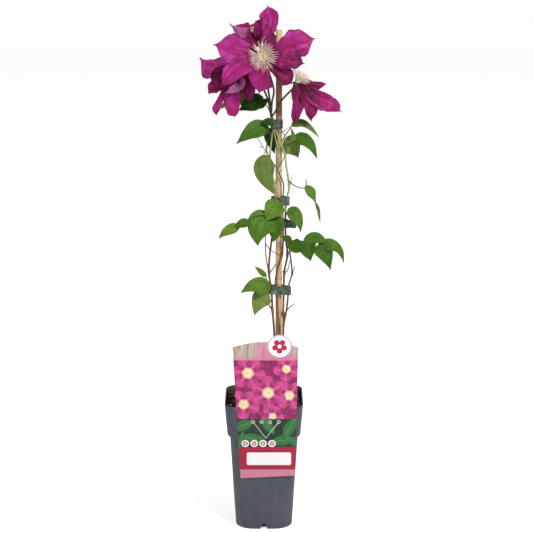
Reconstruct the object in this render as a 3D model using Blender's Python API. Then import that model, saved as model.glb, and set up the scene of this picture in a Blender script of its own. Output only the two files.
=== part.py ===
"""A clematis in a tall square nursery pot, tied to one bamboo cane, with a plant label on the pot.

Lengths are in millimetres here and are turned into metres by MM when a mesh is made.
X is to the right, Y away from the viewer and Z up. The origin is on the floor, under the middle of the pot.
"""
import bpy
import bmesh
import random
from math import cos, sin, pi, radians
from mathutils import Matrix, Vector

MM = 0.001
# Clear space between two pieces that touch in the real object.
GAP = 0.3
# Widths of weld that are tried in turn when a union is tidied.
WELDS = (0.004, 0.002, 0.0)

# Pot: height, half widths and corner radii of its square outline, and the walls.
POT_HEIGHT = 185.0
RIM_HALF = 55.0
COLLAR_LOW_HALF = 51.2
COLLAR_HEIGHT = 47.0
BODY_TOP_HALF = 47.8
FOOT_HALF = 40.0
RIM_CORNER = 17.0
FOOT_CORNER = 25.0
POT_WALL = 1.4
POT_FLOOR = 2.6
LIP = 1.2
FOOT_CHAMFER = 1.0
NOTCH_WIDE = 10.4
NOTCH_NARROW = 5.0
NOTCH_HIGH = 8.0
NOTCH_DEEP = 9.0
DRAIN_RADIUS = 4.0
DRAIN_AT = 21.0
# How far the blocks behind the notches stay inside the wall's face, and how far a cutter runs past the pot.
BLOCK_INSET = 0.6
CUT_PAST = 4.0

# Potting mix.
SOIL_TOP = 178.0
SOIL_BUMP = 1.6
BARK_CHIPS = 18

# Bamboo cane.
CANE_X = 20.6
CANE_RADIUS = 4.5
CANE_TOP = 700.5
CANE_FOOT = 34.0
CANE_SIDES = 14
CANE_NODES = (212.0, 356.0, 508.0, 640.0)

# Crown of the plant, where its woody stems leave the potting mix.
CROWN = (20.0, -14.0)
CROWN_RADIUS = 4.6
CROWN_FOOT = 150.0
CROWN_TOP = 184.0

# Tie tapes.
TAPE_THICK = 0.8
TAPE_WIDE = 12.0

# Plant label: a card that leans on the collar.
LABEL_THICK = 0.8
LABEL_TOP_HALF = 45.0
LABEL_MIDDLE = 2.0
LABEL_ARCH = 8.0
LABEL_HIGH = 136.0
LABEL_FOOT = ((-33.0, -59.0), (44.0, -55.0))
HOLES_AT = (-15.0, -3.2, 8.6, 20.6)
HOLES_UP = 26.0
HOLE_RADIUS = 1.7
SLITS_AT = (-13.0, 18.6)
SLIT_HALF = 0.4
FLAP_TOP = 23.2
FLAP_TIP = (2.8, 1.6)
BADGE_RADIUS = 16.8
BADGE_AT = (21.5, 137.5)

# Leaves and blooms.
BLADE_THICK = 0.8
LEAF_OUTLINE = ((0.0, 0.16), (0.13, 0.66), (0.34, 1.0), (0.6, 0.86), (0.83, 0.44), (1.0, 0.05))
SEPAL_STATIONS = (0.3, 0.5, 0.66, 0.8, 0.9)
SEPAL_BASE = 2.4
SEPAL_TIP = 0.5
SEPAL_FOLD = 0.18
ACROSS_LARGE = (-1.0, -0.5, 0.0, 0.5, 1.0)
ACROSS_SMALL = (-1.0, 0.0, 1.0)
LARGE_BLADE = 27.0
STALK_SIDES = 5
RECEPTACLE = 4.6
RECEPTACLE_SQUASH = 0.55
DOME_RADIUS = 4.4
DOME_SQUASH = 0.55
STAMEN_RADII = (0.75, 0.6)
STYLES = 5
GOLDEN_ANGLE = 2.39996


def clear_scene():
    for obj in list(bpy.data.objects):
        bpy.data.objects.remove(obj, do_unlink=True)


def paint(name, colour, roughness):
    material = bpy.data.materials.new(name)
    material.use_nodes = True
    shader = material.node_tree.nodes["Principled BSDF"]
    shader.inputs["Base Color"].default_value = (*colour, 1.0)
    shader.inputs["Roughness"].default_value = roughness
    return material


def make_object(name, points, faces, material=None):
    """Makes a mesh object from points in millimetres, with its normals turned outwards."""
    mesh = bpy.data.meshes.new(name)
    mesh.from_pydata([Vector(point) * MM for point in points], [], faces)
    work = bmesh.new()
    work.from_mesh(mesh)
    bmesh.ops.recalc_face_normals(work, faces=work.faces)
    work.to_mesh(mesh)
    work.free()
    obj = bpy.data.objects.new(name, mesh)
    bpy.context.scene.collection.objects.link(obj)
    if material:
        mesh.materials.append(material)
    return obj


def make_active(obj):
    bpy.ops.object.select_all(action="DESELECT")
    obj.select_set(True)
    bpy.context.view_layer.objects.active = obj


def shade(obj, degrees=50.0):
    make_active(obj)
    bpy.ops.object.shade_smooth_by_angle(angle=radians(degrees))


def drop_scraps(work):
    """Keeps the largest piece of a mesh; the others are loose scraps and the skins of sealed hollows."""
    left = set(work.faces)
    pieces = []
    while left:
        start = left.pop()
        piece = [start]
        queue = [start]
        while queue:
            face = queue.pop()
            for edge in face.edges:
                for other in edge.link_faces:
                    if other in left:
                        left.remove(other)
                        piece.append(other)
                        queue.append(other)
        pieces.append(piece)
    pieces.sort(key=len)
    for piece in pieces[:-1]:
        bmesh.ops.delete(work, geom=piece, context="FACES")
    loose = [vert for vert in work.verts if not vert.link_faces]
    bmesh.ops.delete(work, geom=loose, context="VERTS")


def keep_largest_piece(obj):
    """Tidies a mesh with the widest weld that leaves it closed, and tells whether one did."""
    for weld in WELDS:
        work = bmesh.new()
        work.from_mesh(obj.data)
        drop_scraps(work)
        bmesh.ops.triangulate(work, faces=work.faces)
        if weld:
            bmesh.ops.remove_doubles(work, verts=work.verts, dist=weld * MM)
            bmesh.ops.dissolve_degenerate(work, edges=work.edges, dist=weld * MM)
            bmesh.ops.triangulate(work, faces=work.faces)
        closed = all(len(edge.link_faces) == 2 for edge in work.edges)
        if closed:
            work.to_mesh(obj.data)
        work.free()
        if closed:
            return True
    return False


def fuse(name, parts, material):
    """Joins the parts of one node by a single union on a collection, then removes the loose parts."""
    base = parts[0]
    base.name = name
    start = base.data
    group = bpy.data.collections.new(name + "_parts")
    bpy.context.scene.collection.children.link(group)
    for part in parts[1:]:
        bpy.context.scene.collection.objects.unlink(part)
        group.objects.link(part)
    for solver in ("EXACT", "MANIFOLD"):
        base.data = start.copy()
        union = base.modifiers.new("union", "BOOLEAN")
        union.operation = "UNION"
        union.operand_type = "COLLECTION"
        union.collection = group
        union.solver = solver
        make_active(base)
        bpy.ops.object.modifier_apply(modifier=union.name)
        if keep_largest_piece(base):
            break
    for part in parts[1:]:
        bpy.data.objects.remove(part, do_unlink=True)
    bpy.data.collections.remove(group)
    base.data.materials.clear()
    base.data.materials.append(material)
    return base


def cut(obj, cutters):
    """Takes the cutters out of the object and removes them."""
    group = bpy.data.collections.new("cutters")
    bpy.context.scene.collection.children.link(group)
    for cutter in cutters:
        bpy.context.scene.collection.objects.unlink(cutter)
        group.objects.link(cutter)
    difference = obj.modifiers.new("cut", "BOOLEAN")
    difference.operation = "DIFFERENCE"
    difference.operand_type = "COLLECTION"
    difference.collection = group
    difference.solver = "EXACT"
    make_active(obj)
    bpy.ops.object.modifier_apply(modifier=difference.name)
    for cutter in cutters:
        bpy.data.objects.remove(cutter, do_unlink=True)
    bpy.data.collections.remove(group)


def rounded_square(half, corner, z, steps=5):
    """One ring of a square outline with rounded corners."""
    ring = []
    for quarter in range(4):
        turn = quarter * pi / 2
        for step in range(steps + 1):
            angle = step / steps * pi / 2
            x = half - corner + corner * cos(angle)
            y = half - corner + corner * sin(angle)
            ring.append((x * cos(turn) - y * sin(turn), x * sin(turn) + y * cos(turn), z))
    return ring


def loft(name, rings, material=None):
    """Skins a stack of rings and closes both ends."""
    count = len(rings[0])
    points = [point for ring in rings for point in ring]
    faces = []
    for low in range(len(rings) - 1):
        for i in range(count):
            j = (i + 1) % count
            faces.append((low * count + i, low * count + j, (low + 1) * count + j, (low + 1) * count + i))
    faces.append(tuple(reversed(range(count))))
    last = (len(rings) - 1) * count
    faces.append(tuple(range(last, last + count)))
    return make_object(name, points, faces, material)


def prism(name, outline, direction, material=None):
    """Sweeps a flat outline along a straight direction."""
    count = len(outline)
    shift = Vector(direction)
    points = [Vector(point) for point in outline] + [Vector(point) + shift for point in outline]
    faces = [tuple(reversed(range(count))), tuple(range(count, 2 * count))]
    for i in range(count):
        j = (i + 1) % count
        faces.append((i, j, count + j, count + i))
    return make_object(name, points, faces, material)


def post(name, x, y, z_low, z_high, radius, sides=24):
    """An upright round bar."""
    turns = [2 * pi * i / sides for i in range(sides)]
    rings = [[(x + radius * cos(turn), y + radius * sin(turn), z) for turn in turns] for z in (z_low, z_high)]
    return loft(name, rings)


def tube(points, radius, end_radius, sides=STALK_SIDES):
    """A closed few-sided stem along a run of points, thinning evenly to its end."""
    path = [Vector(point) for point in points]
    tangent = (path[1] - path[0]).normalized()
    side = tangent.orthogonal().normalized()
    rings = []
    for i, point in enumerate(path):
        before = path[max(i - 1, 0)]
        after = path[min(i + 1, len(path) - 1)]
        turned = (after - before).normalized()
        side = (side - turned * side.dot(turned)).normalized()
        up = turned.cross(side)
        thick = radius + (end_radius - radius) * i / (len(path) - 1)
        ring = []
        for k in range(sides):
            angle = 2 * pi * k / sides
            ring.append(point + (side * cos(angle) + up * sin(angle)) * thick)
        rings.append(ring)
    return loft("tube", rings)


def bead(centre, radius, squash=1.0, axis=(0, 0, 1), fine=1):
    """A small closed ball, flattened along its axis."""
    mesh = bpy.data.meshes.new("bead")
    work = bmesh.new()
    bmesh.ops.create_icosphere(work, subdivisions=fine, radius=radius * MM)
    turn = Vector((0, 0, 1)).rotation_difference(Vector(axis)).to_matrix()
    for vert in work.verts:
        place = vert.co.copy()
        place.z *= squash
        vert.co = turn @ place + Vector(centre) * MM
    work.to_mesh(mesh)
    work.free()
    obj = bpy.data.objects.new("bead", mesh)
    bpy.context.scene.collection.objects.link(obj)
    return obj


def blade(base, middle, tip, face, rows, fold=0.25, wave=0.0, waves=2.0, phase=0.0, arch=0.0):
    """A leaf or sepal: a thin closed skin along a rib that runs from base to tip through the middle point.

    Each row is a share of the rib's length and the widths left and right of the rib there. face is the way
    the upper side looks, fold lifts both edges like a shallow trough, and wave ripples the edges up and down.
    """
    base, middle, tip = Vector(base), Vector(middle), Vector(tip)
    bend = middle * 2 - (base + tip) * 0.5
    rib = []
    for along, _, _ in rows:
        rib.append(base * (1 - along) ** 2 + bend * 2 * along * (1 - along) + tip * along ** 2)
    face = Vector(face).normalized()
    width = max(left + right for _, left, right in rows)
    columns = ACROSS_LARGE if width >= LARGE_BLADE else ACROSS_SMALL
    upper = []
    for row, (along, left, right) in enumerate(rows):
        ahead = rib[min(row + 1, len(rib) - 1)] - rib[max(row - 1, 0)]
        ahead.normalize()
        side = ahead.cross(face).normalized()
        out = side.cross(ahead).normalized()
        for across in columns:
            half = left if across < 0 else right
            lift = fold * half * across * across
            lift += arch * width * sin(pi * along) * (1 - across * across)
            lift += wave * width * across * across * sin(2 * pi * waves * along + phase + across)
            upper.append(rib[row] + side * half * across + out * lift)
    return skin(upper, len(rows), len(columns))


def skin(upper, rows, columns):
    """Gives a grid of points a thickness, with the same triangles on both faces."""
    grid = [upper[row * columns:(row + 1) * columns] for row in range(rows)]
    normals = []
    for row in range(rows):
        for column in range(columns):
            ahead = grid[min(row + 1, rows - 1)][column] - grid[max(row - 1, 0)][column]
            beside = grid[row][min(column + 1, columns - 1)] - grid[row][max(column - 1, 0)]
            normals.append(beside.cross(ahead).normalized())
    count = rows * columns
    half = BLADE_THICK / 2
    points = [point + normal * half for point, normal in zip(upper, normals)]
    points += [point - normal * half for point, normal in zip(upper, normals)]
    faces = []
    for row in range(rows - 1):
        for column in range(columns - 1):
            a = row * columns + column
            b, c, d = a + 1, a + columns + 1, a + columns
            faces += [(a, b, c), (a, c, d)]
            faces += [(count + a, count + c, count + b), (count + a, count + d, count + c)]
    edge = list(range(columns))
    edge += [row * columns + columns - 1 for row in range(1, rows)]
    edge += [(rows - 1) * columns + column for column in range(columns - 2, -1, -1)]
    edge += [row * columns for row in range(rows - 2, 0, -1)]
    for i, a in enumerate(edge):
        b = edge[(i + 1) % len(edge)]
        faces += [(a, count + a, count + b), (a, count + b, b)]
    return make_object("blade", points, faces)


def leaf(base, middle, tip, width, face, **shape):
    rows = []
    for along, wide in LEAF_OUTLINE:
        half = max(width * 0.5 * wide, 0.5)
        rows.append((along, half, half))
    return blade(base, middle, tip, face, rows, **shape)


def sepal(base, middle, tip, face, left, right, **shape):
    rows = [(0.0, SEPAL_BASE, SEPAL_BASE)] + list(zip(SEPAL_STATIONS, left, right)) + [(1.0, SEPAL_TIP, SEPAL_TIP)]
    return blade(base, middle, tip, face, rows, **shape)


def corner_at(z):
    return FOOT_CORNER + (RIM_CORNER - FOOT_CORNER) * z / POT_HEIGHT


def notch_outline(grow, y):
    """Upright outline of a foot notch, made larger all round by grow."""
    wide, narrow, high = NOTCH_WIDE / 2 + grow, NOTCH_NARROW / 2 + grow, NOTCH_HIGH + grow
    low = -1.0 if grow <= 0 else 0.4
    return [(-wide, y, low), (wide, y, low), (narrow, y, high), (-narrow, y, high)]


def turned_prism(name, outline, direction, quarter):
    turn = Matrix.Rotation(quarter * pi / 2, 3, "Z")
    return prism(name, [turn @ Vector(point) for point in outline], turn @ Vector(direction))


def make_pot(material):
    """Square pot with a wide collar, a flat floor with drain holes and a closed notch in each foot edge."""
    step = POT_HEIGHT - COLLAR_HEIGHT
    outer = [
        (0.0, FOOT_HALF - FOOT_CHAMFER), (FOOT_CHAMFER, FOOT_HALF), (step - 1.0, BODY_TOP_HALF),
        (step, COLLAR_LOW_HALF - 0.8), (step + 1.2, COLLAR_LOW_HALF),
        (POT_HEIGHT - 1.0, RIM_HALF), (POT_HEIGHT, RIM_HALF - 0.6),
    ]
    inner = [
        (POT_HEIGHT, RIM_HALF - POT_WALL - LIP * 0.4), (POT_HEIGHT - 3.0, RIM_HALF - POT_WALL - 0.3),
        (step + 3.0, COLLAR_LOW_HALF - POT_WALL), (step - 0.5, BODY_TOP_HALF - POT_WALL),
        (POT_FLOOR, FOOT_HALF - POT_WALL),
    ]
    rings = [rounded_square(half, corner_at(z), z) for z, half in outer]
    rings += [rounded_square(half, corner_at(z) - POT_WALL, z) for z, half in inner]
    pot = loft("pot", rings, material)
    blocks = []
    for quarter in range(4):
        outline = notch_outline(POT_WALL, BLOCK_INSET - FOOT_HALF)
        blocks.append(turned_prism("block", outline, (0, NOTCH_DEEP + POT_WALL, 0), quarter))
    pot = fuse("pot", [pot] + blocks, material)
    cutters = []
    for quarter in range(4):
        outline = notch_outline(0.0, -FOOT_HALF - CUT_PAST)
        cutters.append(turned_prism("notch", outline, (0, NOTCH_DEEP + CUT_PAST, 0), quarter))
    for x in (-DRAIN_AT, DRAIN_AT):
        for y in (-DRAIN_AT, DRAIN_AT):
            cutters.append(post("drain", x, y, -2.0, POT_FLOOR + 2.0, DRAIN_RADIUS, 16))
    cut(pot, cutters)
    shade(pot, 35.0)


def make_soil(material):
    """Potting mix that fills the pot, with a rough top, bark chips and plain holes for cane and crown."""
    rng = random.Random(7)
    step = POT_HEIGHT - COLLAR_HEIGHT
    slack = POT_WALL + GAP
    levels = [
        (POT_FLOOR + GAP, FOOT_HALF - slack), (step - 0.5, BODY_TOP_HALF - slack - 0.2),
        (step + 3.4, COLLAR_LOW_HALF - slack - 0.1),
        (SOIL_TOP - 2.0, RIM_HALF - slack - 1.4),
    ]
    rings = [rounded_square(half, corner_at(z) - slack, z) for z, half in levels]
    rim = rings[-1]
    for share in (0.93, 0.76, 0.56, 0.35, 0.15):
        ring = []
        for x, y, z in rim:
            bump = SOIL_BUMP * rng.uniform(-1, 1)
            ring.append((x * share, y * share, SOIL_TOP + bump))
        rings.append(ring)
    soil = loft("soil", rings, material)
    chips = []
    while len(chips) < BARK_CHIPS:
        x, y = rng.uniform(-46, 46), rng.uniform(-46, 46)
        near_cane = (x - CANE_X) ** 2 + y ** 2 < 150
        near_crown = (x - CROWN[0]) ** 2 + (y - CROWN[1]) ** 2 < 150
        if near_cane or near_crown:
            continue
        chips.append(bark_chip(rng, x, y))
    soil = fuse("soil", [soil] + chips, material)
    cutters = [
        post("cane_hole", CANE_X, 0, CANE_FOOT - GAP, POT_HEIGHT + 20, CANE_RADIUS + GAP, 24),
        post("crown_hole", CROWN[0], CROWN[1], CROWN_FOOT - GAP, POT_HEIGHT + 20, CROWN_RADIUS + GAP, 12),
    ]
    room = NOTCH_DEEP + CUT_PAST + POT_WALL + BLOCK_INSET + GAP
    for quarter in range(4):
        outline = notch_outline(POT_WALL + GAP, -FOOT_HALF - CUT_PAST)
        cutters.append(turned_prism("notch_room", outline, (0, room, 0), quarter))
    cut(soil, cutters)
    keep_largest_piece(soil)


def bark_chip(rng, x, y):
    """A small angular chip, sunk half its height into the mix."""
    long, wide, high = rng.uniform(3.0, 6.0), rng.uniform(2.0, 3.6), rng.uniform(1.6, 3.0)
    turn = Matrix.Rotation(rng.uniform(0, pi), 3, "Z") @ Matrix.Rotation(rng.uniform(-0.3, 0.3), 3, "X")
    corners = [(-long, -wide), (long, -wide * 0.7), (long * 0.8, wide), (-long * 0.9, wide * 0.8)]
    low = [(cx, cy, -4.0) for cx, cy in corners]
    top = [(cx * 0.7, cy * 0.7, high) for cx, cy in corners]
    shift = Vector((x, y, SOIL_TOP))
    rings = [[turn @ Vector(corner) * 0.5 + shift for corner in ring] for ring in (low, top)]
    return loft("chip", rings)


def cane_radius(z):
    """The cane swells at each of its nodes and thins a little towards its top."""
    radius = CANE_RADIUS - 0.25 * z / CANE_TOP
    for node in CANE_NODES:
        away = abs(z - node)
        if away < 3.0:
            radius += 0.45 * (1 - away / 3.0)
    return radius


def make_cane(material):
    heights = [CANE_FOOT, CANE_FOOT + 4.0]
    for node in CANE_NODES:
        heights += [node - 3.0, node - 0.6, node + 0.6, node + 3.0]
    heights += [CANE_TOP - 0.5, CANE_TOP]
    rings = []
    for z in heights:
        radius = cane_radius(z)
        if z > CANE_TOP - 0.4:
            radius -= 0.4
        if z < CANE_FOOT + 1.0:
            radius -= 1.2
        ring = []
        for i in range(CANE_SIDES):
            angle = 2 * pi * i / CANE_SIDES
            ring.append((CANE_X + radius * cos(angle), radius * sin(angle), z))
        rings.append(ring)
    shade(loft("cane", rings, material))


def band(name, circles, z, material, slope=0.0, tail=None):
    """A tie tape: a flat band pulled round a group of circles, with an optional stapled tail."""
    inner, outer = [], []
    directions = 28
    for k in range(directions):
        way = Vector((cos(2 * pi * k / directions), sin(2 * pi * k / directions)))
        x, y, radius = max(circles, key=lambda circle: circle[0] * way.x + circle[1] * way.y + circle[2])
        inner.append(Vector((x, y)) + way * radius)
        outer.append(Vector((x, y)) + way * (radius + TAPE_THICK))
    points, faces = [], []
    for flat, height in ((inner, 0.0), (outer, 0.0), (outer, TAPE_WIDE), (inner, TAPE_WIDE)):
        for spot in flat:
            points.append((spot.x, spot.y, z + height + slope * (spot.x - CANE_X)))
    for part in range(4):
        after = (part + 1) % 4
        for k in range(directions):
            j = (k + 1) % directions
            a, b = part * directions + k, part * directions + j
            c, d = after * directions + j, after * directions + k
            faces += [(a, b, c), (a, c, d)]
    tape = make_object(name, points, faces, material)
    if tail:
        start, end = Vector((*tail[0], z)), Vector((*tail[1], z))
        along = end - start
        across = along.cross(Vector((0, 0, 1))).normalized() * TAPE_THICK
        outline = [start - across, end - across, end + across, start + across]
        flag = prism("tail", [spot + Vector((0, 0, 0.6)) for spot in outline], (0, 0, TAPE_WIDE - 1.2))
        tape = fuse(name, [tape, flag], material)
    shade(tape, 40.0)


def make_tapes(material):
    cane = (CANE_X, 0.0, CANE_RADIUS + GAP * 0.5)
    band("tie_tape_1", [cane, (13.8, -6.0, 4.2)], 566.5, material)
    band("tie_tape_2", [(18.3, -2.5, 7.8), (30.8, -4.4, 4.0)], 460.5, material)
    tail = ((32.0, -4.4), (44.5, -8.0))
    band("tie_tape_3", [(19.5, -1.6, 6.6), (28.0, -4.4, 4.2)], 428.5, material, tail=tail)
    band("tie_tape_4", [(10.8, -5.2, 4.4), cane, (32.6, -4.4, 4.6)], 334.5, material, slope=-0.05)


def label_point(x, up):
    """A point of the label's back face, up along the leaning card from the height of the collar's foot."""
    lean = (RIM_HALF - COLLAR_LOW_HALF) / COLLAR_HEIGHT
    foot = POT_HEIGHT - COLLAR_HEIGHT
    size = (1 + lean * lean) ** 0.5
    return Vector((x, -COLLAR_LOW_HALF - GAP - lean * up / size, foot + up / size))


def label_edge():
    """Outline of the card: tapering sides, a low arch on top and a round lobe for the badge."""
    edge = list(LABEL_FOOT)
    top, arch, steps = LABEL_HIGH, LABEL_ARCH, 16
    badge_x, badge_up = BADGE_AT
    for step in range(steps + 1):
        share = 1 - 2 * step / steps
        x, up = LABEL_MIDDLE + LABEL_TOP_HALF * share, top + arch * (1 - share * share)
        if abs(x - badge_x) > BADGE_RADIUS * 0.92:
            edge.append((x, up))
        elif not any(spot[1] > top + arch + 4 for spot in edge):
            for k in range(13):
                angle = radians(22 + k * 11.5)
                edge.append((badge_x + BADGE_RADIUS * cos(angle), badge_up + BADGE_RADIUS * sin(angle)))
    return edge


def card_cutter(outline, out):
    """A cutter that goes right through the card."""
    return prism("card_cutter", [label_point(x, up) - out * 2 for x, up in outline], out * 5)


def make_label(material):
    """Thin printed card with a hanging flap cut in it."""
    lean = (RIM_HALF - COLLAR_LOW_HALF) / COLLAR_HEIGHT
    out = Vector((0, -1, -lean)).normalized()
    card = prism("label", [label_point(x, up) for x, up in label_edge()], out * LABEL_THICK, material)
    cutters = []
    for x in HOLES_AT:
        turns = [pi * k / 6 for k in range(12)]
        hole = [(x + HOLE_RADIUS * cos(turn), HOLES_UP + HOLE_RADIUS * sin(turn)) for turn in turns]
        cutters.append(card_cutter(hole, out))
    tip_x, tip_up = FLAP_TIP
    for x in SLITS_AT:
        slit = [(x - SLIT_HALF, FLAP_TOP), (x + SLIT_HALF, FLAP_TOP), (tip_x + SLIT_HALF, tip_up),
                (tip_x - SLIT_HALF, tip_up)]
        cutters.append(card_cutter(slit, out))
    cut(card, cutters)
    keep_largest_piece(card)


def make_woody_stems(material):
    """Brown ripened wood: a crown in the potting mix and the stems that rise from it beside the cane."""
    crown = post("woody_stems", CROWN[0], CROWN[1], CROWN_FOOT, CROWN_TOP, CROWN_RADIUS, 12)
    foot = (CROWN[0], CROWN[1], CROWN_TOP - 6)
    parts = [crown]
    left = [foot, (17, -11, 205), (14.5, -7, 277), (12, -6, 312), (11, -6, 333), (9.6, -6, 347),
            (7, -6.5, 366), (8, -7, 391), (10.6, -7, 411), (12.6, -7.2, 432), (12.6, -7.2, 452)]
    parts.append(tube(left, 1.5, 1.1))
    # This stem leans over the cane's front on its way up.
    middle = [foot, (21, -13, 215), (22, -9, 279), (19, -8, 312), (16.8, -7.4, 340), (16.4, -7, 357),
              (20, -7.4, 374), (25.4, -6.8, 393), (26.6, -6.4, 418), (26.4, -6.4, 444)]
    parts.append(tube(middle, 1.4, 1.0))
    right = [foot, (24, -11, 205), (27, -5, 276), (27, -5, 312), (27.6, -5, 338), (28.4, -4.6, 366),
             (32.6, -4, 390), (31, -4, 408), (29.8, -4.6, 426), (29.8, -4.6, 452)]
    parts.append(tube(right, 1.5, 1.1))
    outer = [(27, -5, 288), (31, -5, 308), (33, -4.6, 324), (33.8, -4.6, 336), (34.6, -4.4, 347),
             (38.4, -4, 360), (39.4, -4, 366), (36.6, -4, 390), (34.2, -4, 410)]
    parts.append(tube(outer, 1.2, 0.9))
    thin = [(7, -6.5, 364), (4.2, -8, 380), (2.6, -8, 392), (2, -8, 409)]
    parts.append(tube(thin, 0.9, 0.7))
    parts.append(tube([(28, -4.6, 304), (34, -7, 314), (43, -9, 322)], 0.8, 0.6))
    parts.append(tube([(7.4, -6.4, 364), (12, -8, 371), (17, -9, 379)], 0.9, 0.7))
    parts.append(tube([(28.4, -4.6, 364), (33, -5, 369), (36, -5, 382)], 0.9, 0.7))
    parts.append(tube([(12, -6, 311), (8, -7, 318), (6.5, -7, 323)], 1.2, 1.0))
    for x, y, z in ((7, -6.5, 366), (28.4, -4.6, 366), (39.4, -4, 366), (12, -6, 312), (32.6, -4, 390)):
        parts.append(bead((x, y, z), 1.9, 1.2))
    shade(fuse("woody_stems", parts, material))


def make_green_shoots(material):
    """The young green growth: two twining shoots, their leaves, tendrils and the stalks of the blooms."""
    parts = []
    right = [(29.8, -4.6, 452 + GAP), (29.8, -4.6, 456), (31, -5, 464), (32.4, -5.4, 474), (34.6, -5.4, 484),
             (33, -6, 500), (31, -7, 514), (28.6, -8.4, 530), (23, -9.4, 548), (17, -8.2, 562), (13.4, -7, 572),
             (10, -8, 587)]
    parts.append(tube(right, 1.1, 1.0))
    left = [(12.6, -7.2, 452 + GAP), (12.8, -7, 456), (15.4, -7.6, 470), (14, -10, 492), (9.6, -11.6, 514),
            (8.6, -11.8, 533), (10.4, -11, 552), (11.8, -7.8, 562), (12.4, -6.6, 572), (10, -8, 587)]
    parts.append(tube(left, 1.1, 1.0))
    dark = [(26.4, -6.4, 444 + GAP), (25.6, -6.8, 454), (25.2, -7, 468), (27, -7.2, 480), (26.4, -7.4, 493),
            (22, -8.2, 503), (18.4, -9.4, 512), (12, -10.6, 521), (4.6, -10.4, 534), (4, -9.8, 546),
            (7.4, -9.8, 555), (11, -8.4, 561)]
    parts.append(tube(dark, 0.95, 0.8))
    light = [(14, -9.6, 487), (18.6, -10.4, 506), (20.6, -10.6, 526), (18.6, -12, 543), (15.6, -12, 556),
             (12.6, -8.4, 569)]
    parts.append(tube(light, 0.8, 0.7))
    parts.append(tube([(28.6, -8.4, 529), (23, -9.8, 519), (19, -10.4, 509)], 0.6, 0.6))
    parts += bloom_stalks()
    parts += tendrils()
    parts += upper_leaves()
    shade(fuse("green_shoots", parts, material))


def bloom_stalks():
    """Stalks that end just under the base of each bloom."""
    start = (10, -8, 583)
    stalks = []
    for name, way in STALKS.items():
        bloom = BLOOMS[name]
        axis = Vector(bloom["axis"]).normalized()
        end = Vector(bloom["centre"]) - axis * (RECEPTACLE * RECEPTACLE_SQUASH + GAP)
        stalks.append(tube([start] + way + [end - axis * 7, end], 1.1, 1.0))
    return stalks


def tendrils():
    """Thin twining leaf stalks that have lost their leaflets."""
    return [
        tube([(17, -8.4, 561.6), (21, -10, 562), (25, -12, 564), (29, -18, 566.5), (34, -22, 571)], 0.6, 0.5,
             sides=4),
        tube([(25, -12, 564), (29, -12.4, 556), (31.8, -11.6, 542), (30.6, -10, 531)], 0.6, 0.5, sides=4),
        tube([(4.4, -10.4, 533), (1.6, -12, 538), (-2, -12.6, 544), (-6, -13, 551), (-10, -13, 557)], 0.6, 0.5,
             sides=4),
    ]


def upper_leaves():
    """Leaves on the green growth, each with its stalk."""
    parts = []
    # A dark leaf under the blooms on the left, with a small one behind it.
    parts.append(tube([(10, -8, 586), (4, -5, 598), (-6, -2, 606)], 0.9, 0.7))
    parts.append(leaf((-1, -2, 607), (-18, -3, 600), (-34, -6, 592), 25, (-0.2, -1, 0.5), fold=0.2))
    parts.append(leaf((-5, -1.8, 606), (-38, 8, 604), (-63, 6, 591), 18, (-0.1, -0.9, 0.5), fold=0.25))
    # The leaf that droops to the left beside the first tape.
    parts.append(tube([(10.8, -10, 555), (8, -12, 562), (3, -13, 569.6)], 0.9, 0.7))
    parts.append(leaf((5, -12, 571), (-15, -20, 565), (-37, -27, 550), 27, (-0.25, -0.9, 0.5),
                      fold=0.25, wave=0.03))
    # Two leaves on the right that share one stalk.
    parts.append(tube([(23.4, -9.4, 547), (30, -11, 560), (40, -11, 573)], 0.9, 0.7))
    parts.append(leaf((38, -11, 572), (56, -15, 575), (75, -18, 556), 13, (0.3, -0.8, 0.9), fold=0.35))
    parts.append(tube([(26.4, -8.8, 538), (28, -10.4, 548.6), (34, -12, 549.6), (44, -12, 554)], 0.9, 0.7))
    parts.append(leaf((42, -12, 553), (59, -18, 550), (73, -25, 528), 20, (0.3, -1, 0.5),
                      fold=0.25, wave=0.02))
    parts.append(leaf((40, -12, 551.4), (40, -12.4, 559), (36, -9, 570), 6, (0.2, -1, 0.2), fold=0.3))
    # A paler leaf in front of the right shoot.
    parts.append(tube([(26.4, -8.8, 538), (26, -11, 545), (27, -14, 548)], 0.9, 0.7))
    parts.append(leaf((26, -13, 549), (37, -19, 541), (45, -21, 527), 29, (0.1, -1, 0.4),
                      fold=0.2, wave=0.03))
    # A dark hanging leaf in front of the cane.
    parts.append(tube([(20.2, -8.8, 554.6), (16, -13, 562), (11.6, -15.8, 565.6), (8.4, -15.8, 566.6)], 0.8, 0.7))
    parts.append(leaf((8, -15.5, 568), (10, -18, 551), (15, -17, 532), 21, (-0.1, -1, 0.1), fold=0.25))
    # The large pale leaf that hangs on the left.
    parts.append(tube([(8.8, -11.8, 530), (7, -15, 532), (3.6, -18, 531)], 1.0, 0.8))
    parts.append(leaf((4, -17, 531), (1, -25, 508), (15, -24, 479), 29, (-0.2, -1, 0.35),
                      fold=0.22, wave=0.02))
    # The leaf that hangs from a long arching stalk on the right.
    parts.append(tube([(33.4, -6, 496), (40, -9, 490), (50, -12, 486), (57, -14, 487),
                       (59, -14.5, 490)], 0.9, 0.7))
    parts.append(tube([(57, -14, 487), (58, -14, 494)], 0.7, 0.6))
    parts.append(leaf((58, -14.5, 489), (69, -18, 468), (78, -20, 440), 10, (0.4, -1, 0.3),
                      fold=0.3, wave=0.03))
    return parts


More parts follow.
